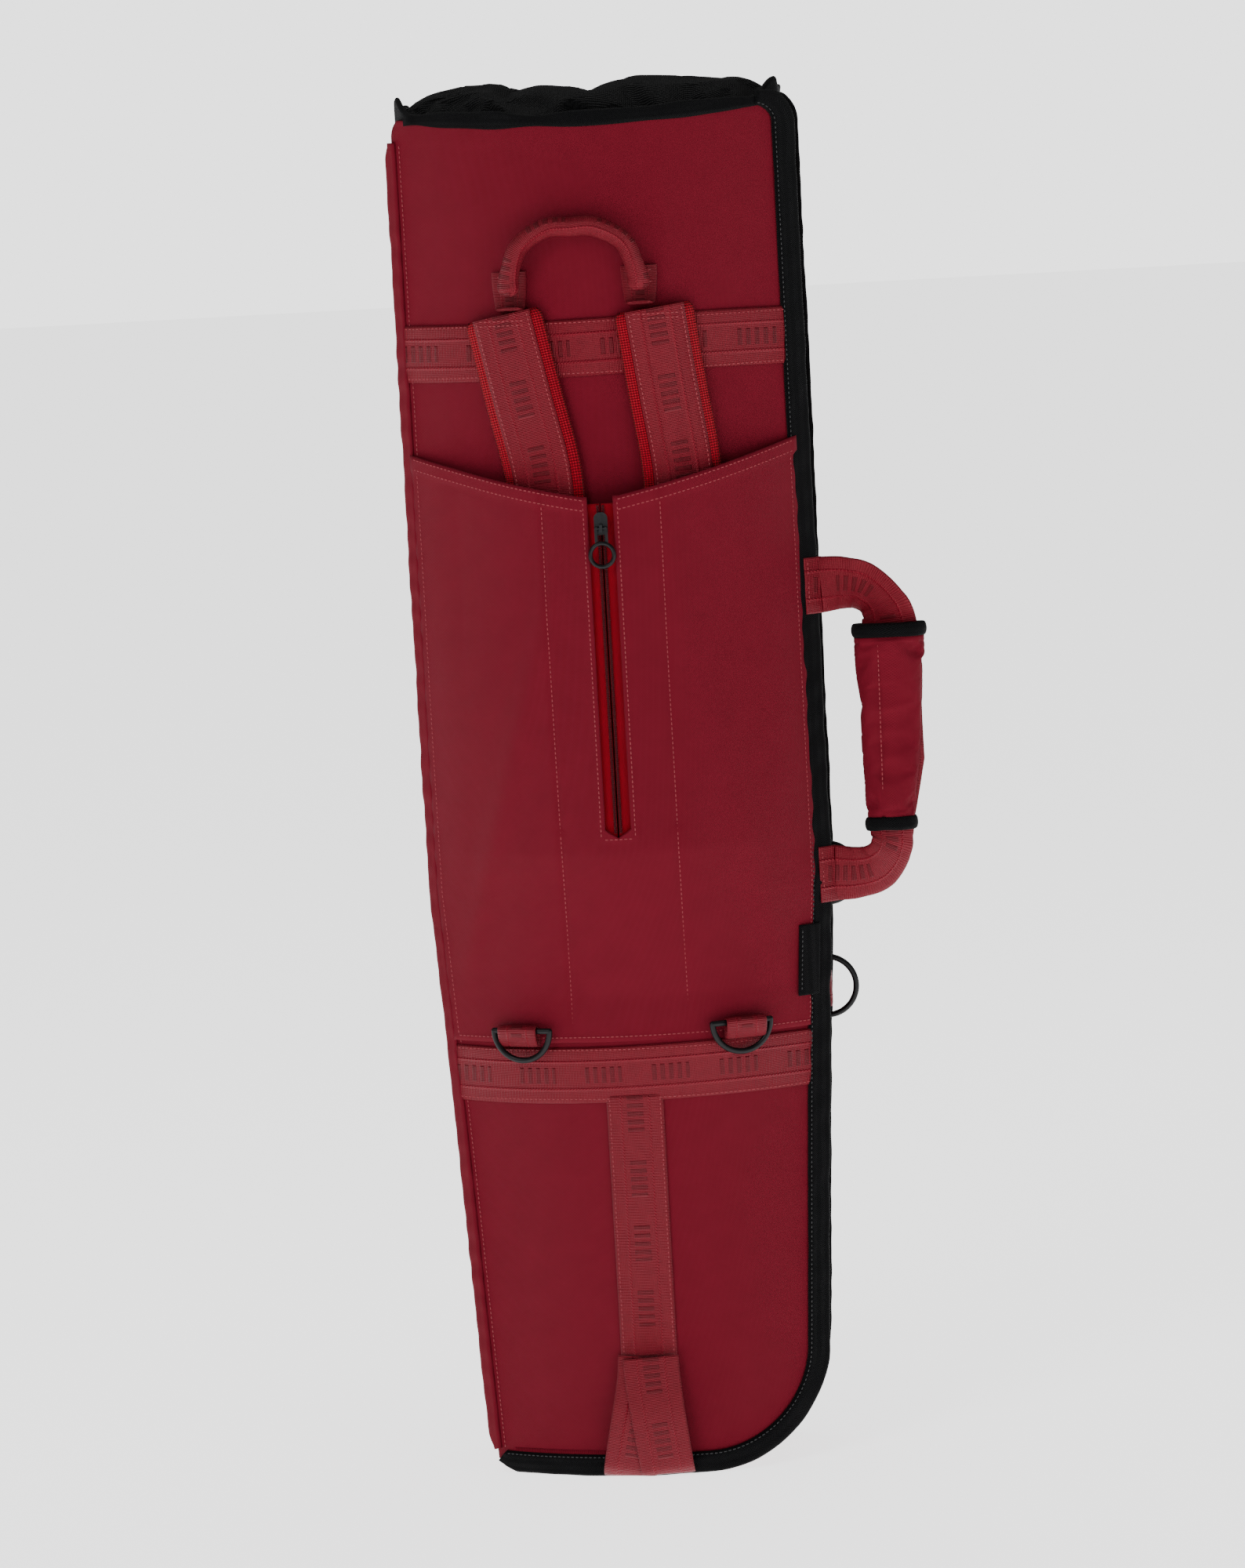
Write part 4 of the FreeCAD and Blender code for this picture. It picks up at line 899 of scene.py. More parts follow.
def bound_seam(name, surface, ring, reach_in, reach_out, top, thick, seed, **shown):
    """Tape folded over a seam's edge: across it, outwards, over the edge and back underneath."""
    px, pz, nx, nz, along = (value[:, None] for value in ring)
    t = np.linspace(0, 1, 9)
    mid = reach_out - thick / 2
    turn_by = np.linspace(np.pi / 2, -np.pi / 2, 9)
    out = np.concatenate([-reach_in + t * (reach_in + mid), mid + thick / 2 * np.cos(turn_by[1:-1]),
                          mid - t * (mid + reach_in * 0.5)])
    lift = np.concatenate([top * (0.35 + 0.65 * np.minimum(t * 4, 1) ** 0.5),
                           top - thick / 2 + thick / 2 * np.sin(turn_by[1:-1]), top - thick + 0 * t])
    sway = 0.0004 * ripple(along, 0 * along, seed, slow=8.0, fast=30.0)
    puff = 0.0004 * ripple(along, out[None], seed + 1, slow=20.0, fast=70.0)
    from_end = np.minimum(along - along[0], along[-1] - along)
    ease = np.where(out[None] > 0, np.clip(from_end / 0.010, 0.25, 1.0) ** 0.5, 1.0)
    d = (out[None] + sway * np.clip(out[None] / reach_out + 0.6, 0, 1)) * ease
    points = surface(px + nx * d, pz + nz * d, lift[None] + puff)
    width = distance_along(np.stack([out, lift], -1))
    add_piece(name, tube(name, points, uv_grid(np.append(width, width[-1] + 0.003), along[:, 0])), **shown)


def ring_part(count, keep):
    """The samples of the shell's outline that a test keeps, in order from the hinge side round the foot."""
    ring = outline(count)
    chosen = keep(ring[0], ring[1], ring[4])
    return tuple(value[chosen] for value in ring)


corner_s = ring_s[np.argmax(-ring_x * 10 - ring_z * 10)]
bound = ring_part(1500, lambda x, z, s: (s > corner_s + 0.001) & (s < RIGHT_TOP_S + 0.012))
left_side = ring_part(1500, lambda x, z, s: (s < corner_s - 0.004) & (z < DOME_TOP_Z - 0.010))
bound_seam(
    "back_binding_tape", on_back, bound,
    reach_in=0.0062, reach_out=0.0086, top=0.0025, thick=0.0046, seed=41, material=BINDING,
    slot="binding_black", stands_for=("back_binding",))
bound_seam(
    "lid_binding_tape", on_front, bound,
    reach_in=0.0062, reach_out=0.0086, top=0.0013, thick=0.0034, seed=43, material=BINDING,
    slot="binding_black", body="lid", stands_for=("lid_binding",))
bound_seam(
    "hinge_side_seam", on_back, left_side,
    reach_in=0.0030, reach_out=0.0050, top=0.0022, thick=0.0040, seed=45, material=TWILL,
    slot="twill_red", stands_for=("hinge_side_fold",))
px, pz = left_side[:2]
stitching("hinge_side_stitches", [row_on(on_back, px + 0.0055, pz, 0.0004)], slot="twill_red")
px, pz, nx, nz, _ = bound
stitching("back_binding_stitches", [row_on(on_back, px - nx * 0.0045, pz - nz * 0.0045, 0.0025)],
          material=BLACK_THREAD, slot="binding_black")


# ---- Mesh cap over the bell -------------------------------------------------------------------
# Airy black mesh, puffed up between the walls, inside a bound rim that stands up round it
# and rises into a small horn at each corner.
def mesh_group():
    """Small round holes in rows, each row set over by half a pitch."""
    tree, given, out, x, y = weave_group("knitted mesh", Pitch=0.0026)
    a = wave(tree, math_node(tree, "ADD", x, y), given["Pitch"])
    b = wave(tree, math_node(tree, "SUBTRACT", x, y), given["Pitch"])
    holes = math_node(tree, "MULTIPLY", a, b)
    fuzz = noise_node(tree, given["Vector"], 1800.0, 2.0)
    link(tree, math_node(tree, "MULTIPLY_ADD", holes, 1.6, fuzz), out["Height"])
    link(tree, math_node(tree, "MULTIPLY_ADD", holes, 0.42, 0.55), out["Shade"])
    return tree


MESH_GROUP = mesh_group()
CAP_MESH = cloth_material(
    "black_airy_mesh", MESH_GROUP,
    dark=(0.0008, 0.0008, 0.0009), light=(0.0085, 0.0085, 0.009), bump=0.9, distance=0.0005,
    roughness=0.6, sheen=0.04, tint=(0.6, 0.6, 0.6), gloss=0.08)
SPACER = cloth_material(
    "red_spacer_mesh", MESH_GROUP,
    dark=(0.09, 0.001, 0.005), light=(0.56, 0.008, 0.026), bump=0.9, distance=0.0006, roughness=0.5,
    sheen=0.06, tint=(1.0, 0.4, 0.4), Pitch=0.0034)


CLOTH_STEPS = 20


def simulate(points, pinned, pressure, shrink, most, loop_v=False):
    """Cloth simulation of a grid of points: cut to a new size, pinned where asked and puffed by pressure."""
    rows, cols = points.shape[:2]
    mesh = grid_mesh("cloth_try", points, np.zeros((rows + 1, cols + 1, 2)), loop_v=loop_v)
    cloth = bpy.data.objects.new("cloth_try", mesh)
    bpy.context.scene.collection.objects.link(cloth)
    pins = cloth.vertex_groups.new(name="pins")
    pins.add(np.flatnonzero(pinned.reshape(-1)).tolist(), 1.0, "REPLACE")
    rules = cloth.modifiers.new("cloth", "CLOTH")
    rules.settings.vertex_group_mass = "pins"
    rules.settings.use_pressure = pressure != 0
    rules.settings.uniform_pressure_force = pressure
    rules.settings.shrink_min = shrink
    rules.settings.bending_stiffness = 1.2
    rules.settings.tension_stiffness = 12.0
    rules.settings.quality = 6
    rules.settings.effector_weights.gravity = 0.0
    rules.collision_settings.use_collision = False
    for frame_number in range(1, CLOTH_STEPS + 1):
        bpy.context.scene.frame_set(frame_number)
    done = cloth.evaluated_get(bpy.context.evaluated_depsgraph_get()).to_mesh()
    moved = np.empty(rows * cols * 3)
    done.vertices.foreach_get("co", moved)
    bpy.data.objects.remove(cloth)
    bpy.context.scene.frame_set(1)
    move = moved.reshape(points.shape) - points
    far = np.linalg.norm(move, axis=-1, keepdims=True)
    return points + move * np.minimum(1.0, most / np.maximum(far, 1e-9))


count_x, count_y = 70, 56
u = np.linspace(-1, 1, count_x)[:, None]
v = np.linspace(0, 1, count_y)[None, :]
cap_x = u * (HALF_BELL - 0.0035) + 0 * v
start = BACK_Y + sag(cap_x) + 0.003
cap_y = start + v * (split_y(DOME_TOP_Z) - TAPE_W - start)
crown = (1 - u ** 6) * (1 - (2 * v - 1) ** 4)
cap_z = dome_z(cap_y) - 0.0015 + crown * (0.011 + 0.0022 * ripple(cap_x, cap_y, 51, slow=9.0, fast=24.0))
cap_top = np.stack([cap_x, cap_y, cap_z], -1)
edge = np.zeros((count_x, count_y), bool)
edge[[0, -1]], edge[:, [0, -1]] = True, True
cap_top = simulate(cap_top, edge, pressure=2.0, shrink=-0.06, most=0.008)
cap_under = cap_top - np.array([0, 0, 0.0022])
cap = add_piece("cap_mesh_sheet", shell("cap_mesh_sheet", cap_top, cap_under, cap_top[..., :2]), CAP_MESH,
                "mesh_black", stands_for=("top_cap_mesh",))

rim_in = 0.0038
rim_half = HALF_BELL - rim_in
side_y = np.linspace(split_y(DOME_TOP_Z) - TAPE_W, BACK_Y + sag(rim_half) + 0.014, 30)
back_x = np.linspace(-rim_half + 0.008, rim_half - 0.008, 90)
rim_plan = np.concatenate([
    np.stack([np.full(30, -rim_half), side_y], -1),
    np.stack([back_x, BACK_Y + sag(back_x) + 0.0012], -1),
    np.stack([np.full(30, rim_half), side_y[::-1]], -1),
])
rim_path = smooth_path(np.column_stack([rim_plan[::3], 0 * rim_plan[::3, 0]]), 420)[:, :2]
rim_s = distance_along(rim_path)
run = unit(np.gradient(rim_path, axis=0))
rim_out = np.stack([run[:, 1], -run[:, 0]], -1)
horn = np.exp(-((np.abs(rim_path[:, 0]) - rim_half) / 0.012) ** 2)
horn = horn * np.exp(-((rim_path[:, 1] - BACK_Y - 0.052) / 0.016) ** 2)
rim_high = 0.0062 + 0.007 * horn + 0.0018 * ripple(rim_s, 0 * rim_s, 53, slow=8.0, fast=26.0)
turn_by = np.linspace(0, np.pi, 9)
rim_side = np.concatenate([[-1, -1, -1], -np.cos(turn_by), [1, 1, 1]]) * 0.0021
rim_rise = np.concatenate([[-0.6, 0.1, 0.5], 0.75 + 0.25 * np.sin(turn_by), [0.5, 0.1, -0.6]])
sway = 0.0016 * ripple(rim_s, 0 * rim_s, 55, slow=10.0, fast=30.0)[:, None] * np.clip(rim_rise, 0, 1)
flare = (rim_side[None] + sway)[..., None] * rim_out[:, None]
base = dome_z(rim_path[:, 1])[:, None]
rim_points = np.concatenate([rim_path[:, None] + flare, (base + rim_rise * rim_high[:, None])[..., None]], -1)
width = distance_along(np.stack([rim_side, rim_rise * 0.009], -1))
rim = tube("cap_rim_tape", rim_points, uv_grid(np.append(width, width[-1] + 0.004), rim_s))
add_piece("cap_rim_tape", rim, BINDING, "binding_black", stands_for=("cap_binding",))


# ---- Main zipper ------------------------------------------------------------------------------
# Burgundy tapes on both halves with a fine black coil each, from the hinge side round the
# foot, up the handle side and over the top, and two sliders on the handle side.
TAPE = cloth_material(
    "zipper_tape", TWILL_GROUP,
    dark=(0.050, 0.001, 0.003), light=(0.10, 0.002, 0.006), bump=0.6, distance=0.0002, roughness=0.5,
    sheen=0.05, tint=(1.0, 0.3, 0.3), Rib=0.0007, Thread=0.0005)
COIL = cloth_material(
    "zipper_coil", TWILL_GROUP,
    dark=(0.012, 0.0015, 0.0025), light=(0.060, 0.003, 0.007), bump=0.3, distance=0.0001,
    roughness=0.32, sheen=0.1, tint=(1.0, 0.6, 0.6), Rib=0.0016, Thread=0.0009)
CHAIN_W = 0.0026
COIL_PITCH = 0.0016
COIL_ROUND = 0.006


def zip_run(count):
    """The outline's samples beside the main zipper: right of the hinge side's plain stretch."""
    return ring_part(count, lambda x, z, s: (x > HINGE_SIDE_X) & (s > 0.2))


def coil_swell(along, side, pitch, depth):
    """How a coil's radius swells at each tooth; the teeth of the two sides fall between each other."""
    return 1 - depth + depth * np.cos(2 * np.pi * along / pitch + (0 if side < 0 else np.pi))


def zip_half(name, side, body):
    """A tape and a coil on one side of the zipper's plane."""
    px, pz, nx, nz, along = (value[:, None] for value in zip_run(900))
    near, far = 0.0002, TAPE_W + 0.001
    away, lift = np.array([(near, 0.0), (near, 0.0007), (far / 2, 0.0009),
                           (far, 0.0006), (far, -0.0002), (far / 2, 0.0001)]).T
    points = wall_point(px, pz, nx, nz, split_y(pz) + side * away[None], lift[None] - 0.0008)
    tape = tube(f"main_zip_{name}_tape", points, uv_grid(np.append(away, away[0]), along[:, 0]))
    add_piece(f"main_zip_{name}_tape", tape, TAPE, "zip_tape_red", body, (f"main_tape_{name}",))
    px, pz, nx, nz, along = (value[:, None] for value in zip_run(6400))
    turn_by = np.linspace(0, 2 * np.pi, 7)[None, :-1]
    swell = coil_swell(along, side, COIL_PITCH, 0.28)
    y = split_y(pz) + CHAIN_W / 2 * (side + np.cos(turn_by) * (0.95 + 0.15 * swell))
    points = wall_point(px, pz, nx, nz, y, 0.0009 + np.sin(turn_by) * 0.0011 * swell)
    coil = tube(f"main_zip_{name}_coil", points, uv_grid(np.linspace(0, COIL_ROUND, 7), along[:, 0]))
    add_piece(f"main_zip_{name}_coil", coil, COIL, "zip_chain_black", body, (f"main_chain_{name}",))


zip_half("back", -1, "bag_back")
zip_half("lid", 1, "lid")


# ---- Metal and plastic fittings -----------------------------------------------------------------
# Sliders, pulls, rings and snap hooks in black enamelled metal, and ladder locks in black
# plastic. They are hard pieces that keep the shapes they were designed with.
def enamel_material(name, colour, bare, roughness, wear):
    """Enamelled metal: an even dark coat, faintly uneven, rubbed on its edges."""
    material, tree, shader = new_material(name)
    fine = noise_node(tree, tree.nodes.new("ShaderNodeTexCoord").outputs["Object"], 700.0, 3.0, 0.6)
    edge = tree.nodes.new("ShaderNodeNewGeometry").outputs["Pointiness"]
    rubbed = step_node(tree, math_node(tree, "MULTIPLY_ADD", fine, 0.10, edge), 0.60 - wear, 0.68 - wear)
    link(tree, mixed_colour(tree, rubbed, colour, bare), shader["Base Color"])
    link(tree, math_node(tree, "MULTIPLY_ADD", fine, 0.25, roughness), shader["Roughness"])
    link(tree, math_node(tree, "MULTIPLY", rubbed, 0.8), shader["Metallic"])
    link(tree, bump_node(tree, fine, 0.15, 0.0002), shader["Normal"])
    shader["Specular IOR Level"].default_value = 0.22
    return material


BLACK_METAL = enamel_material("black_enamelled_metal", (0.003, 0.003, 0.0035), (0.030, 0.030, 0.033),
                              roughness=0.24, wear=-0.02)
BLACK_PLASTIC = enamel_material("black_buckle_plastic", (0.012, 0.012, 0.013), (0.05, 0.05, 0.052),
                                roughness=0.34, wear=0.0)


def finish_node(node, material):
    """A CAD node whose shape stays: it gets a material of its own."""
    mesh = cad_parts[node].data
    if mesh.materials:
        mesh.materials[0] = material
    else:
        mesh.materials.append(material)


for node in ("main_slider_upper", "main_slider_lower", "main_pull_upper", "main_pull_lower",
             "side_ring_upper", "side_ring_lower", "back_ring_left", "back_ring_right",
             "snap_hook_left", "snap_hook_right", "pocket_slider", "pocket_pull"):
    finish_node(node, BLACK_METAL)
for node in ("ladder_lock_left", "ladder_lock_right"):
    finish_node(node, BLACK_PLASTIC)


# ---- Strap pocket ------------------------------------------------------------------------------
# A twill panel sewn round its sides and foot, standing off the bag above, with a hemmed mouth
# that dips to the middle and a slot down its centre for a short red zipper.
(_, pocket_y, POCKET_FOOT_Z), (_, _, POCKET_SIDE_Z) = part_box("pocket_panel")
POCKET_GAP = BACK_Y - pocket_y - 0.002
POCKET_EDGE = 0.0015
POCKET_T = 0.0014
MOUTH_SIDE_Z = 0.698
NOTCH_HALF = 0.0125
NOTCH_Z = 0.668
SEWN_X = 0.039
POCKET_ROW_Z = 0.303
SLOT_HALF = 0.0085
SLOT_FOOT_Z = 0.442
HEM_W = 0.011


def pocket_crest(z):
    """How far the panel stands off the back face at its middle."""
    return np.interp(z, [POCKET_FOOT_Z, 0.330, 0.430, 1.0], [0.0006, 0.0010, POCKET_GAP, POCKET_GAP])


def mouth_z(x):
    """The height of the mouth's edge: level beside the slot, then rising to the sides."""
    share = np.clip((np.abs(x) - NOTCH_HALF) / (half_width(MOUTH_SIDE_Z) - NOTCH_HALF), 0, 1)
    return NOTCH_Z + share * (POCKET_SIDE_Z - NOTCH_Z) - 0.0018 * np.sin(np.pi * share)


def on_pocket(x, z, lift):
    """A point above the pocket panel's inner side; each level is an arc from side to side."""
    reach = half_width(z) - POCKET_EDGE
    edge_y = back_seam_y(reach) - 0.0003
    rise = edge_y - BACK_Y + pocket_crest(z)
    bow = (reach ** 2 + rise ** 2) / (2 * rise)
    inside = np.clip((reach - np.abs(x)) / 0.03, 0, 1) * np.clip((z - POCKET_FOOT_Z) / 0.05, 0, 1)
    inside = inside * np.clip((np.abs(x) - 0.010) / 0.03, 0, 1)
    slack = 0.0019 * ripple(x, z * 0.6, 61, slow=3.0, fast=10.0)
    fold = 0.0016 * np.exp(-((x + 0.052 - 0.30 * (z - 0.55)) / 0.010) ** 2)
    fold = fold + 0.0014 * np.exp(-((x - 0.070 + 0.22 * (z - 0.50)) / 0.012) ** 2)
    y = edge_y - rise + bow - np.sqrt(bow ** 2 - x ** 2)
    turn_by = np.arcsin(np.clip(x / bow, -1, 1))
    out = lift + (slack + fold) * inside
    return np.stack([x + out * np.sin(turn_by), y - out * np.cos(turn_by), z + 0 * x], -1)


def joined_sheet(name, grids, towards):
    """One sheet made of grids that meet edge to edge, welded and turned to face a way."""
    shape = bmesh.new()
    for points, uv in grids:
        part = grid_mesh("part", points, uv)
        shape.from_mesh(part)
        bpy.data.meshes.remove(part)
    bmesh.ops.remove_doubles(shape, verts=shape.verts, dist=2e-6)
    bmesh.ops.recalc_face_normals(shape, faces=shape.faces)
    facing = sum((face.normal * face.calc_area() for face in shape.faces), Vector())
    if facing.dot(Vector(towards)) < 0:
        bmesh.ops.reverse_faces(shape, faces=shape.faces)
    mesh = bpy.data.meshes.new(name)
    shape.to_mesh(mesh)
    shape.free()
    mesh.polygons.foreach_set("use_smooth", [True] * len(mesh.polygons))
    return mesh


def pocket_half(side):
    """Half the panel from the middle or the slot's edge to the side, as a grid with its UV map."""
    rows = np.linspace(0, 1, 130)[:, None]
    t = np.linspace(0, 1, 64)[None, :]
    z_mid = POCKET_FOOT_Z + rows * (NOTCH_Z - POCKET_FOOT_Z)
    slot = SLOT_HALF * np.clip((z_mid - SLOT_FOOT_Z) / 0.0012, 0, 1)
    x = side * (slot + t * (half_width(z_mid) - POCKET_EDGE - slot))
    z = POCKET_FOOT_Z + rows * (mouth_z(x) - POCKET_FOOT_Z)
    x = side * np.minimum(np.abs(x), half_width(z) - POCKET_EDGE)
    hem = np.clip((HEM_W - (mouth_z(x) - z)) / 0.0015, 0, 1)
    lip = np.clip((SLOT_HALF + 0.0045 - np.abs(x)) / 0.001, 0, 1)
    lip = lip * np.clip((z - SLOT_FOOT_Z + 0.004) / 0.001, 0, 1)
    sewn = 0.0009 * np.exp(-((np.abs(x) - SEWN_X) / 0.0016) ** 2) * np.clip((z - POCKET_FOOT_Z) / 0.03, 0, 1)
    points = on_pocket(x, z, 0.0016 + 0.0007 * np.maximum(hem, lip * 0.8) - sewn)
    return points, np.stack([x, z], -1)


pocket_mesh = joined_sheet("pocket_cover", [pocket_half(-1), pocket_half(1)], (0, -1, 0))
pocket_cover = add_piece("pocket_cover", pocket_mesh, TWILL, "twill_red", stands_for=("pocket_panel",))
backing = pocket_cover.modifiers.new("thickness", "SOLIDIFY")
backing.thickness = POCKET_T
backing.offset = -1.0


rows = []
for side in (-1, 1):
    x = side * np.linspace(SLOT_HALF + 0.001, half_width(MOUTH_SIDE_Z) - 0.003, 120)
    rows.append(row_on(on_pocket, x, mouth_z(x) - 0.0022, 0.0024))
    rows.append(row_on(on_pocket, x, mouth_z(x) - HEM_W + 0.002, 0.0023))
    z = np.linspace(SLOT_FOOT_Z - 0.003, NOTCH_Z - 0.001, 120)
    rows.append(row_on(on_pocket, side * (SLOT_HALF + 0.0028), z, 0.0022))
    z = np.linspace(POCKET_FOOT_Z + 0.004, mouth_z(SEWN_X) - 0.002, 160)
    rows.append(row_on(on_pocket, side * SEWN_X, z, 0.0009))
    z = np.linspace(POCKET_FOOT_Z + 0.003, MOUTH_SIDE_Z - 0.004, 160)
    rows.append(row_on(on_pocket, side * (half_width(z) - 0.0055), z, 0.0017))
x = np.linspace(-SLOT_HALF - 0.0025, SLOT_HALF + 0.0025, 20)
rows.append(row_on(on_pocket, x, SLOT_FOOT_Z - 0.003, 0.0022))
reach = half_width(POCKET_ROW_Z) - 0.004
rows.append(row_on(on_pocket, np.linspace(-reach, reach, 100), POCKET_FOOT_Z + 0.0035, 0.0018))
stitching("pocket_stitches", rows, slot="twill_red")

RED_TAPE = cloth_material(
    "bright_red_zipper_tape", TWILL_GROUP,
    dark=(0.12, 0.0015, 0.006), light=(0.28, 0.004, 0.013), bump=0.6, distance=0.0002, roughness=0.5,
    sheen=0.05, tint=(1.0, 0.3, 0.3), Rib=0.0008, Thread=0.0005)
for name, side in (("left", -1), ("right", 1)):
    z = np.linspace(SLOT_FOOT_Z - 0.006, NOTCH_Z - 0.005, 150)
    z, t = np.meshgrid(z, np.linspace(0, 1, 9), indexing="ij")
    x = side * (0.0006 + t * 0.0114)
    lift = -0.0004 - 0.0008 * t
    tape = shell("pocket_tape_" + name, on_pocket(x, z, lift), on_pocket(x, z, lift - 0.0006),
                 np.stack([x, z], -1))
    add_piece("pocket_tape_" + name, tape, RED_TAPE, "zip_tape_red", stands_for=("pocket_zip_" + name,))
    z = np.linspace(SLOT_FOOT_Z + 0.001, NOTCH_Z - 0.006, 900)[:, None]
    turn_by = np.linspace(0, 2 * np.pi, 9)[None, :-1]
    swell = coil_swell(z, side, 0.0013, 0.25)
    x = side * 0.0018 + 0.0011 * np.cos(turn_by) * swell
    points = on_pocket(x, z, 0.0003 + 0.0010 * np.sin(turn_by) * swell)
    coil = tube("pocket_coil_" + name, points, uv_grid(np.linspace(0, COIL_ROUND, 9), z[:, 0]))
    add_piece("pocket_coil_" + name, coil, COIL, "zip_chain_black")


# ---- Shoulder straps ----------------------------------------------------------------------------
# Two padded straps lie folded down into the pocket: red spacer mesh with webbing sewn along
# the middle, and inside the pocket a narrow tail with its buckle and hook.
def pad_profile():
    """A pad's cross-section: rolled edges and a low crown."""
    a = np.linspace(-1, 1, 21)
    half = 0.5 * (1 - np.abs(a) ** 5) ** 0.5
    return np.concatenate([a, a[::-1]]) / 2, np.concatenate([half, -half[::-1]])


def rounded_strap(name, surface, path, width, thick, profile):
    """A strap or pad laid on a surface with a given cross-section and rounded-off ends."""
    side = beside(path)
    along = distance_along(path[:, :2])
    from_end = np.minimum(along, along[-1] - along)[:, None]
    slim = np.sqrt(1 - (1 - np.clip(from_end / thick, 0, 1)) ** 2)
    px, py = profile
    inner = 1 - 0.10 * (1 - np.clip(from_end / 0.006, 0, 1)) ** 2
    x = path[:, :1] + side[:, :1] * px[None] * width * inner
    z = path[:, 1:2] + side[:, 1:] * px[None] * width * inner
    puff = 1 + 0.06 * ripple(along[:, None], px[None] * width, 71, slow=8.0, fast=30.0)
    points = surface(x, z, path[:, 2:3] + (py[None] * slim * puff + 0.5) * thick)
    return tube(name, points, uv_grid(np.append(px, px[0]) * width, along))


PAD_W = 0.0515
PAD_T = 0.0070
PAD_LIFT = 0.0018
PAD_TOP_IN = 0.026
STRAP_LIFT = 0.0080
TAIL_LIFT = 0.0027
BEND_Z = 0.679
for name in ("left", "right"):
    (pad_x0, _, pad_z0), (_, _, pad_z1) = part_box("strap_pad_" + name)
    (foot_x0, _, tail_z), (foot_x1, _, _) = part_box("strap_tail_" + name)
    foot_x = (foot_x0 + foot_x1) / 2
    top_x = pad_x0 + PAD_TOP_IN
    route = [(top_x, pad_z1), ((top_x + foot_x) / 2, (pad_z1 + BEND_Z) / 2),
             (foot_x + (top_x - foot_x) * 0.06, BEND_Z + 0.008), (foot_x, BEND_Z - 0.03),
             (foot_x, 0.56), (foot_x, pad_z0)]
    line = smooth_path([(x, z, PAD_LIFT) for x, z in route], 190)
    pad = rounded_strap("strap_pad_cover_" + name, on_back, line, PAD_W, PAD_T, pad_profile())
    pad = add_piece("strap_pad_cover_" + name, pad, SPACER, "spacer_mesh_red",
                    stands_for=("strap_pad_" + name,))
    web_line = line[:-6].copy()
    web_line[:, 2] = STRAP_LIFT
    laid_webbing("strap_web_" + name, web_line, stands_for=("strap_webbing_" + name,))
    side = beside(web_line)
    rows = [row_on(on_back, *(web_line[:, :2] + side * a).T, STRAP_LIFT + WEB_T)
            for a in (-STITCH_IN, STITCH_IN)]
    across_x = np.linspace(-WEB_W / 2 + 0.003, WEB_W / 2 - 0.003, 16)
    rows += [row_on(on_back, top_x + across_x, pad_z1 - drop, STRAP_LIFT + WEB_T) for drop in (0.004, 0.007)]
    stitching("strap_stitches_" + name, rows)
    tail = np.stack([np.full(30, foot_x), np.linspace(pad_z0 + 0.004, tail_z, 30), np.full(30, TAIL_LIFT)], -1)
    laid_webbing("strap_tail_web_" + name, tail, ("strap_tail_" + name,), WEB_W / 2)


# ---- D-ring tabs -------------------------------------------------------------------------------
# Each ring hangs in a short loop of webbing sewn to the bag.
def frame_at(x):
    """The back face's outward normal and its direction across the bag at x."""
    sine, cosine = x / FACE_R, math.cos(math.asin(x / FACE_R))
    return np.array([sine, -cosine, 0]), np.array([cosine, sine, 0])


UP = np.array([0, 0, 1.0])
LOOP_W = 0.0280
LOOP_T = WEB_T * 0.9
RING_LIFT = 0.007
FOLD_R = 0.0032
for name in ("left", "right"):
    (ring_x0, _, _), (ring_x1, _, ring_top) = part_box("back_ring_" + name)
    ring_x_mid, bar_z = (ring_x0 + ring_x1) / 2, ring_top - 0.002
    out, across = frame_at(ring_x_mid)
    sweep = [(RING_LIFT - FOLD_R * math.cos(a), FOLD_R * math.sin(a)) for a in np.linspace(0, np.pi, 6)]
    line = [(0.0030, -0.011), (0.0034, -0.005)] + sweep + [(0.0092, -0.005), (0.0062, -0.0105)]
    line = smooth_path([(lift, 0.0, bar_z + z) for lift, z in line], 60)
    centre = on_back(ring_x_mid, bar_z) * (1 - UP) + line[:, :1] * out + line[:, 2:3] * UP
    looped_webbing("ring_loop_" + name, centre, across, LOOP_W, LOOP_T, ("back_ring_tab_" + name,))

for name in ("upper", "lower"):
    (ring_x0, ring_y0, ring_z0), (_, ring_y1, ring_z1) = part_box("side_ring_" + name)
    bar = np.array([ring_x0 + 0.002, (ring_y0 + ring_y1) / 2, (ring_z0 + ring_z1) / 2])
    sweep = [(FOLD_R * math.sin(a), FOLD_R * math.cos(a)) for a in np.linspace(0, np.pi, 7)]
    line = [(-0.008, 0.0012), (-0.004, 0.0022)] + sweep + [(-0.004, -0.0022), (-0.008, -0.0012)]
    centre = bar + smooth_path([(a, b, 0.0) for a, b in line], 60)
    looped_webbing("side_loop_" + name, centre, UP, LOOP_W, LOOP_T, ("side_ring_tab_" + name,))


# ---- Label -------------------------------------------------------------------------------------
# A small blank black woven label, caught in the seam on the handle side.
(_, _, label_z0), (_, _, label_z1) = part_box("side_label")
z, t = np.meshgrid(np.linspace(label_z0, label_z1, 30), np.linspace(0, 1, 14), indexing="ij")
x = half_width(z) - 0.0005 - 0.0138 * t
lift = 0.0032 + 0.0006 * np.sin(np.pi * t)
label = shell("blank_label", on_back(x, z, lift + 0.0007), on_back(x, z, lift), np.stack([x, z], -1))
add_piece("blank_label", label, BINDING, "label_black", stands_for=("side_label",))
z = np.linspace(label_z0 + 0.002, label_z1 - 0.002, 40)
stitching("label_stitches", [row_on(on_back, half_width(z) - 0.0125, z, 0.0046)],
          material=BLACK_THREAD, slot="label_black")


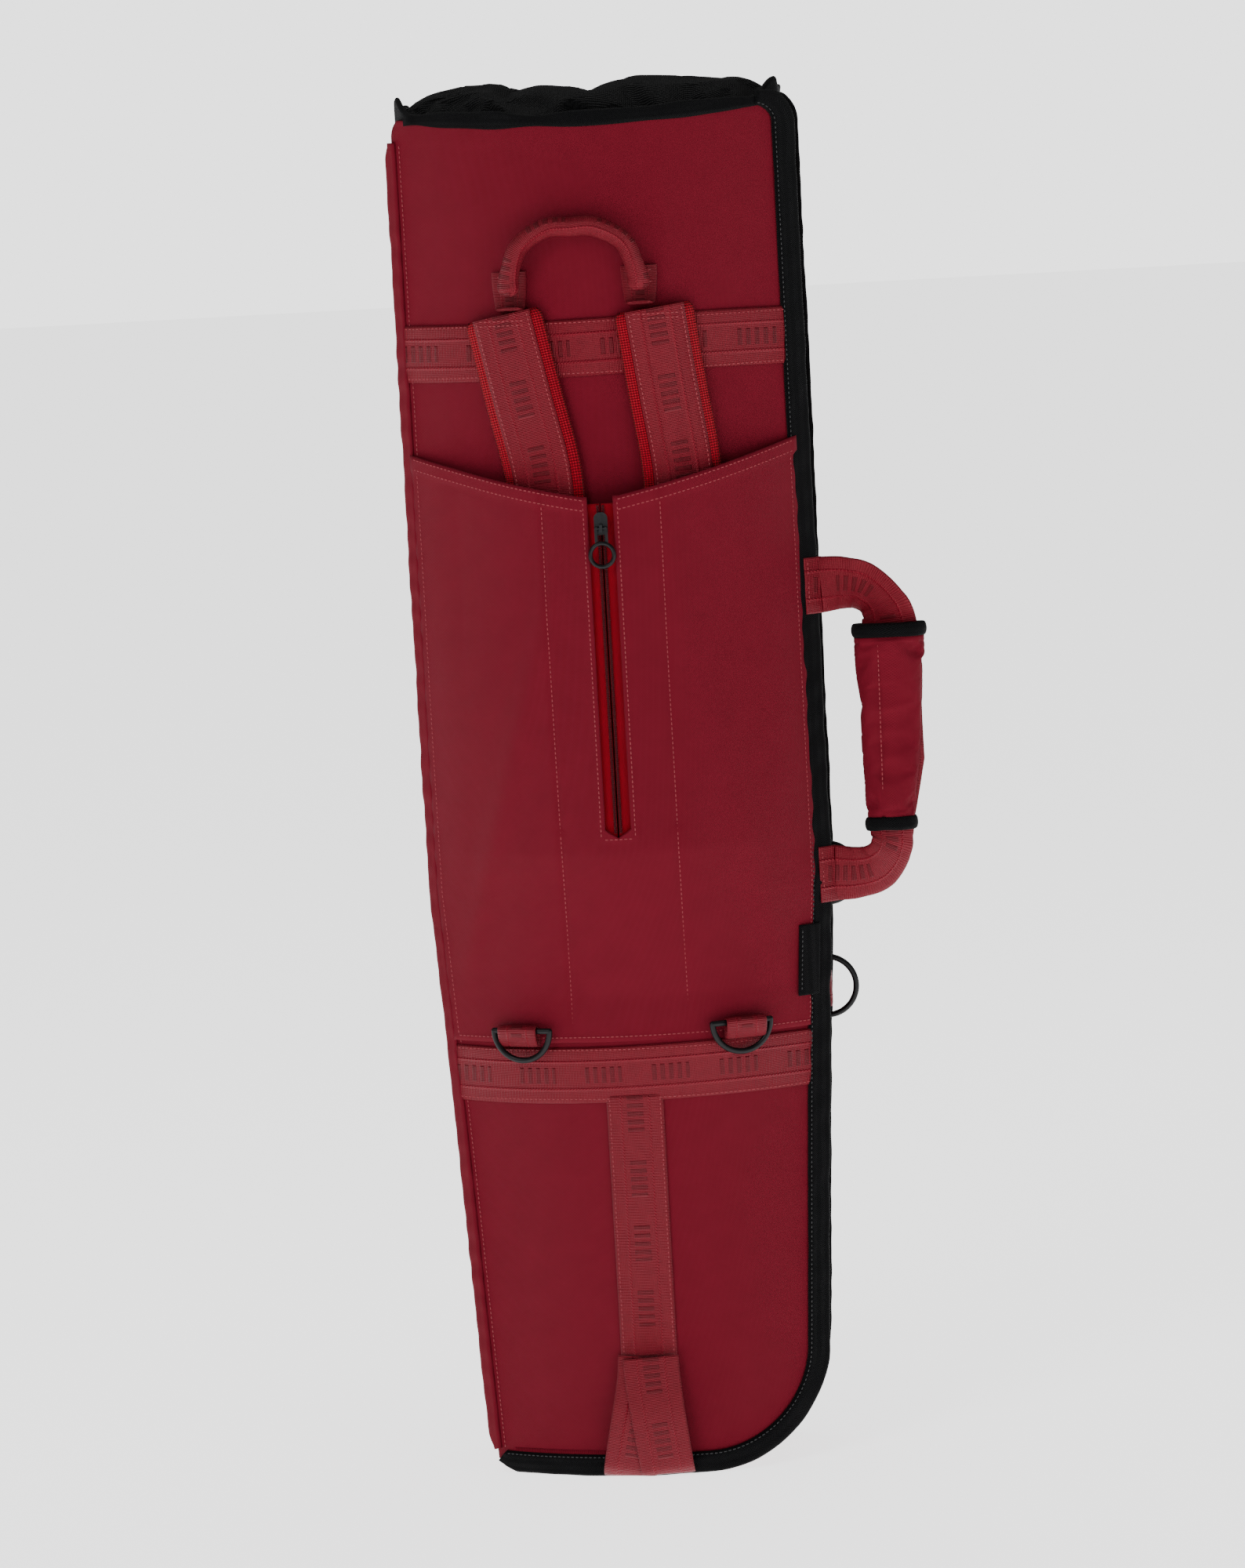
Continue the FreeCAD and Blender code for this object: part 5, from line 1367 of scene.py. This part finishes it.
# ---- Rolled grab handle ----------------------------------------------------------------------
# Webbing rolled round a cord and stitched along its lap, turning on two folded tabs sewn to
# the bag above the shoulder straps.
(roll_x0, roll_y0, roll_z0), (roll_x1, roll_y1, roll_z1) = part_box("top_handle_roll")
ROLL_R = (roll_y1 - roll_y0) / 2
ROLL_Y = (roll_y0 + roll_y1) / 2
left_x, right_x, foot_z, top_z = roll_x0 + ROLL_R, roll_x1 - ROLL_R, roll_z0 + ROLL_R, roll_z1 - ROLL_R
arch = [(left_x, foot_z), (left_x + 0.0005, foot_z + 0.012), (left_x + 0.008, top_z - 0.012),
        (left_x + 0.026, top_z - 0.0005), ((left_x + right_x) / 2, top_z), (right_x - 0.026, top_z - 0.001),
        (right_x - 0.008, top_z - 0.012), (right_x - 0.0005, foot_z + 0.012), (right_x, foot_z)]
arch = smooth_path([(x, ROLL_Y, z) for x, z in arch], 160)
run = unit(np.gradient(arch, axis=0))
depth = np.broadcast_to(np.array([0, 1.0, 0]), run.shape)
out = np.cross(run, depth)
arch_s = distance_along(arch)
from_end = np.minimum(arch_s, arch_s[-1] - arch_s)[:, None]
turn_by = np.linspace(0, 2 * np.pi, 41)[None, :-1]
lap = turn_by / (2 * np.pi)
spiral = 1 - 0.15 * lap + 0.15 * np.clip((lap - 0.965) / 0.035, 0, 1)
crease = 1 + 0.035 * ripple(arch_s[:, None], lap * 0.05, 81, slow=15.0, fast=60.0)
twist = 0.9 * np.sin(arch_s[:, None] * 14.0) + 2.1
closing = np.sqrt(np.clip(1 - (1 - np.clip(from_end / 0.007, 0, 1)) ** 2, 0.05, 1))
radius = (ROLL_R - 0.0003) * spiral * crease * closing
flat = 1 + 0.25 * (1 - np.clip(from_end / 0.02, 0, 1))
angle = turn_by + twist
points = arch[:, None] + (np.cos(angle) * radius * flat)[..., None] * out[:, None]
points = points + (np.sin(angle) * radius / flat)[..., None] * depth[:, None]
roll = tube("rolled_webbing", points, uv_grid(np.linspace(-0.020, 0.020, 41), arch_s))
webbing_piece("rolled_webbing", roll, ("top_handle_roll", "top_handle_core"), "top_handle")
lap_angle = (twist - 0.25)[:, 0]
lap_out = np.cos(lap_angle)[:, None] * out + np.sin(lap_angle)[:, None] * depth
lap_line = arch + lap_out * (ROLL_R * 0.87)
stitching("rolled_webbing_stitches", [(lap_line[6:-6], lap_out[6:-6])], body="top_handle")

for name, x, stands in (("left", left_x, ("top_handle_tabs",)), ("right", right_x, ())):
    base = on_back(x, foot_z) * (1 - UP)
    line = smooth_path([(0.0012, 0, foot_z + 0.016), (0.0014, 0, foot_z + 0.002), (0.0028, 0, foot_z - 0.0062),
                        (0.0066, 0, foot_z - 0.0086), (base[1] - ROLL_Y + 0.0005, 0, foot_z - 0.0078)], 50)
    centre = base + line[:, :1] * np.array([0, -1.0, 0]) + line[:, 2:3] * UP
    width = 0.024 - 0.008 * np.linspace(0, 1, 50) ** 2
    looped_webbing("handle_flap_" + name, centre, frame_at(x)[1], width, WEB_T * 1.1, stands)
    a = np.linspace(-0.009, 0.009, 14)
    rows = [row_on(on_back, x + a, foot_z + rise, 0.0026) for rise in (0.013, 0.005)]
    stitching("handle_flap_stitches_" + name, rows)


# ---- Carry handle -----------------------------------------------------------------------------
# A loop of webbing sewn into the seam on the zipper side, with a padded twill grip whose ends
# are bound in black tape. The grip is fuller at its upper end.
(web_x0, web_y0, web_z0), (web_x1, web_y1, web_z1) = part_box("handle_webbing")
HINGE_X = web_x0 + (web_y1 - web_y0) / 2
HANDLE_Y = (web_y0 + web_y1) / 2
mid_x = web_x1 - WEB_W / 2
low_z, high_z = web_z0 + WEB_W / 2, web_z1 - WEB_W / 2
bend = [(HINGE_X, 0.0), (HINGE_X + 0.014, -0.0005), (mid_x - 0.017, 0.0025),
        (mid_x - 0.0045, 0.014), (mid_x, 0.033)]
route = [(x, low_z + rise) for x, rise in bend] + [(mid_x, (low_z + high_z) / 2)]
route += [(x, high_z - rise) for x, rise in reversed(bend)]
route = smooth_path([(x + 0.0006, HANDLE_Y, z) for x, z in route], 240)
run = unit(np.gradient(route, axis=0))
across = np.cross(run, np.array([0, 1.0, 0]))
corner_low = np.exp(-(((route[:, 2] - low_z - 0.010) / 0.014) ** 2))
corner_high = np.exp(-(((route[:, 2] - high_z + 0.010) / 0.014) ** 2))
away_from_hinge = np.clip((route[:, 0] - HINGE_X) / 0.02, 0, 1)
tilt = (0.42 * corner_high - 0.36 * corner_low) * away_from_hinge
across = unit(across * np.cos(tilt)[:, None] + np.array([0, 1.0, 0]) * np.sin(tilt)[:, None])
normal = np.cross(across, run)
in_grip = away_from_hinge * np.clip((low_z + 0.075 - route[:, 2]) / 0.04, 0, 1)
in_grip = in_grip * np.clip((route[:, 2] - low_z - 0.004) / 0.02, 0, 1)
narrow = WEB_W * (1 - 0.10 * np.maximum(corner_low, corner_high) * away_from_hinge - 0.20 * in_grip)
route[:, 0] -= 0.0048 * in_grip
handle = strap_mesh("handle_loop", route, across, normal, narrow, 0.0021)
webbing_piece("handle_loop", handle, ("handle_webbing",), "side_handle")

for name, z_mid in (("low", low_z), ("high", high_z)):
    z, x = np.meshgrid(z_mid + np.linspace(-WEB_W / 2, WEB_W / 2, 24),
                       np.linspace(HINGE_X - 0.0112, HINGE_X - 0.0002, 12), indexing="ij")
    lift = 0.0016 + 0.0003 * np.sin(np.pi * (z - z_mid) / WEB_W * 4)
    root = shell("handle_root_" + name, on_back(x, z, lift + 0.0016), on_back(x, z, lift),
                 np.stack([z - z_mid, x], -1))
    webbing_piece("handle_root_" + name, root, stands_for=("handle_tab_" + name,))
    z = z_mid + np.linspace(-WEB_W / 2 + 0.002, WEB_W / 2 - 0.002, 24)
    stitching("handle_root_stitches_" + name, [row_on(on_back, HINGE_X - 0.009, z, 0.0032)])


def grip_size(share):
    """The grip's near side, far side and depth at a share of its height: it is fuller at the top."""
    return mid_x - 0.0205 - 0.0035 * share, mid_x + 0.0115 + 0.0120 * share, 0.0150 + 0.0030 * share


def grip_tube(z, side_low, side_high, depth):
    """Cross-sections of the grip: soft-cornered, from one side's x to the other's at each height."""
    turn_by = np.linspace(0, 2 * np.pi, 57)[None, :-1]
    middle, half = (side_low + side_high) / 2, (side_high - side_low) / 2
    c, s = np.cos(turn_by), np.sin(turn_by)
    x = middle[:, None] + half[:, None] * np.sign(c) * np.abs(c) ** 0.75
    y = HANDLE_Y + depth[:, None] / 2 * np.sign(s) * np.abs(s) ** 0.85
    return np.stack([x, y, z[:, None] + 0 * x], -1)


GRIP_ROUND = 0.11
(_, _, grip_z0), (_, _, grip_z1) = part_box("grip_sleeve")
t = np.linspace(0, 1, 90)
grip_low, grip_high, grip_depth = grip_size(t)
seam_x = grip_low + 0.34 * (grip_high - grip_low)
z = grip_z0 + t * (grip_z1 - grip_z0)
sleeve = grip_tube(z, grip_low, grip_high, grip_depth)
held = np.zeros(sleeve.shape[:2], bool)
held[[0, 1, -2, -1]] = True
sleeve = simulate(sleeve, held, pressure=3.0, shrink=-0.02, most=0.0025, loop_v=True)
ripples = 0.0006 * ripple(sleeve[..., 2], sleeve[..., 0], 91, slow=12.0, fast=45.0)
seam = -0.0010 * np.exp(-((sleeve[..., 0] - seam_x[:, None]) / 0.0012) ** 2)
face_out = np.where(sleeve[..., 1] < HANDLE_Y, -1.0, 1.0) * (np.abs(sleeve[..., 1] - HANDLE_Y) > 0.004)
sleeve[..., 1] += face_out * (ripples + seam)
around = np.linspace(0, GRIP_ROUND, sleeve.shape[1] + 1)
grip = tube("grip_cover", sleeve, uv_grid(around, z))
grip = add_piece("grip_cover", grip, TWILL, "twill_red", body="side_handle", stands_for=("grip_sleeve",))
seam_line = np.stack([seam_x, HANDLE_Y - grip_depth / 2 + 0.0004, z], -1)[3:-3]
stitching("grip_stitches", [(seam_line, np.broadcast_to(np.array([0, -1.0, 0]), seam_line.shape))],
          body="side_handle", slot="twill_red")

for name, share in (("low", 0), ("high", 1)):
    (_, _, end_z0), (_, _, end_z1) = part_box("grip_binding_" + name)
    t = np.linspace(0, 1, 16)
    z = end_z0 + t * (end_z1 - end_z0)
    swell = 0.0016 * np.sqrt(np.clip(np.sin(np.pi * t), 0, 1)) + 0.0002
    low_x, high_x, depth = grip_size(share)
    band = grip_tube(z, low_x - swell, high_x + swell, depth + 2 * swell)
    puff = 0.0003 * ripple(band[..., 0], band[..., 1], 93 + share, slow=20.0, fast=60.0)
    band = band + puff[..., None]
    band = tube("grip_end_" + name, band, uv_grid(around, z)[..., ::-1])
    add_piece("grip_end_" + name, band, BINDING, "binding_black", "side_handle", ("grip_binding_" + name,))


# ---- Floor -----------------------------------------------------------------------------------
# The plain white studio floor.
FLOOR_HALF = 30.0
FLOOR_GLOW = 2.0
across, depth = np.meshgrid([-FLOOR_HALF, 0, FLOOR_HALF], [-FLOOR_HALF, 0, FLOOR_HALF], indexing="ij")
floor_points = np.stack([across, depth, 0 * across], -1)
floor_mesh = grid_mesh("studio_floor", floor_points, floor_points[..., :2])
floor = bpy.data.objects.new("studio_floor", floor_mesh)
bpy.context.scene.collection.objects.link(floor)
FLOOR, _, floor_shader = new_material("floor_white")
floor_shader["Base Color"].default_value = (0.86, 0.86, 0.86, 1.0)
floor_shader["Roughness"].default_value = 0.9
floor_shader["Emission Color"].default_value = (*WHITE, 1.0)
floor_shader["Emission Strength"].default_value = FLOOR_GLOW
floor_mesh.materials.append(FLOOR)
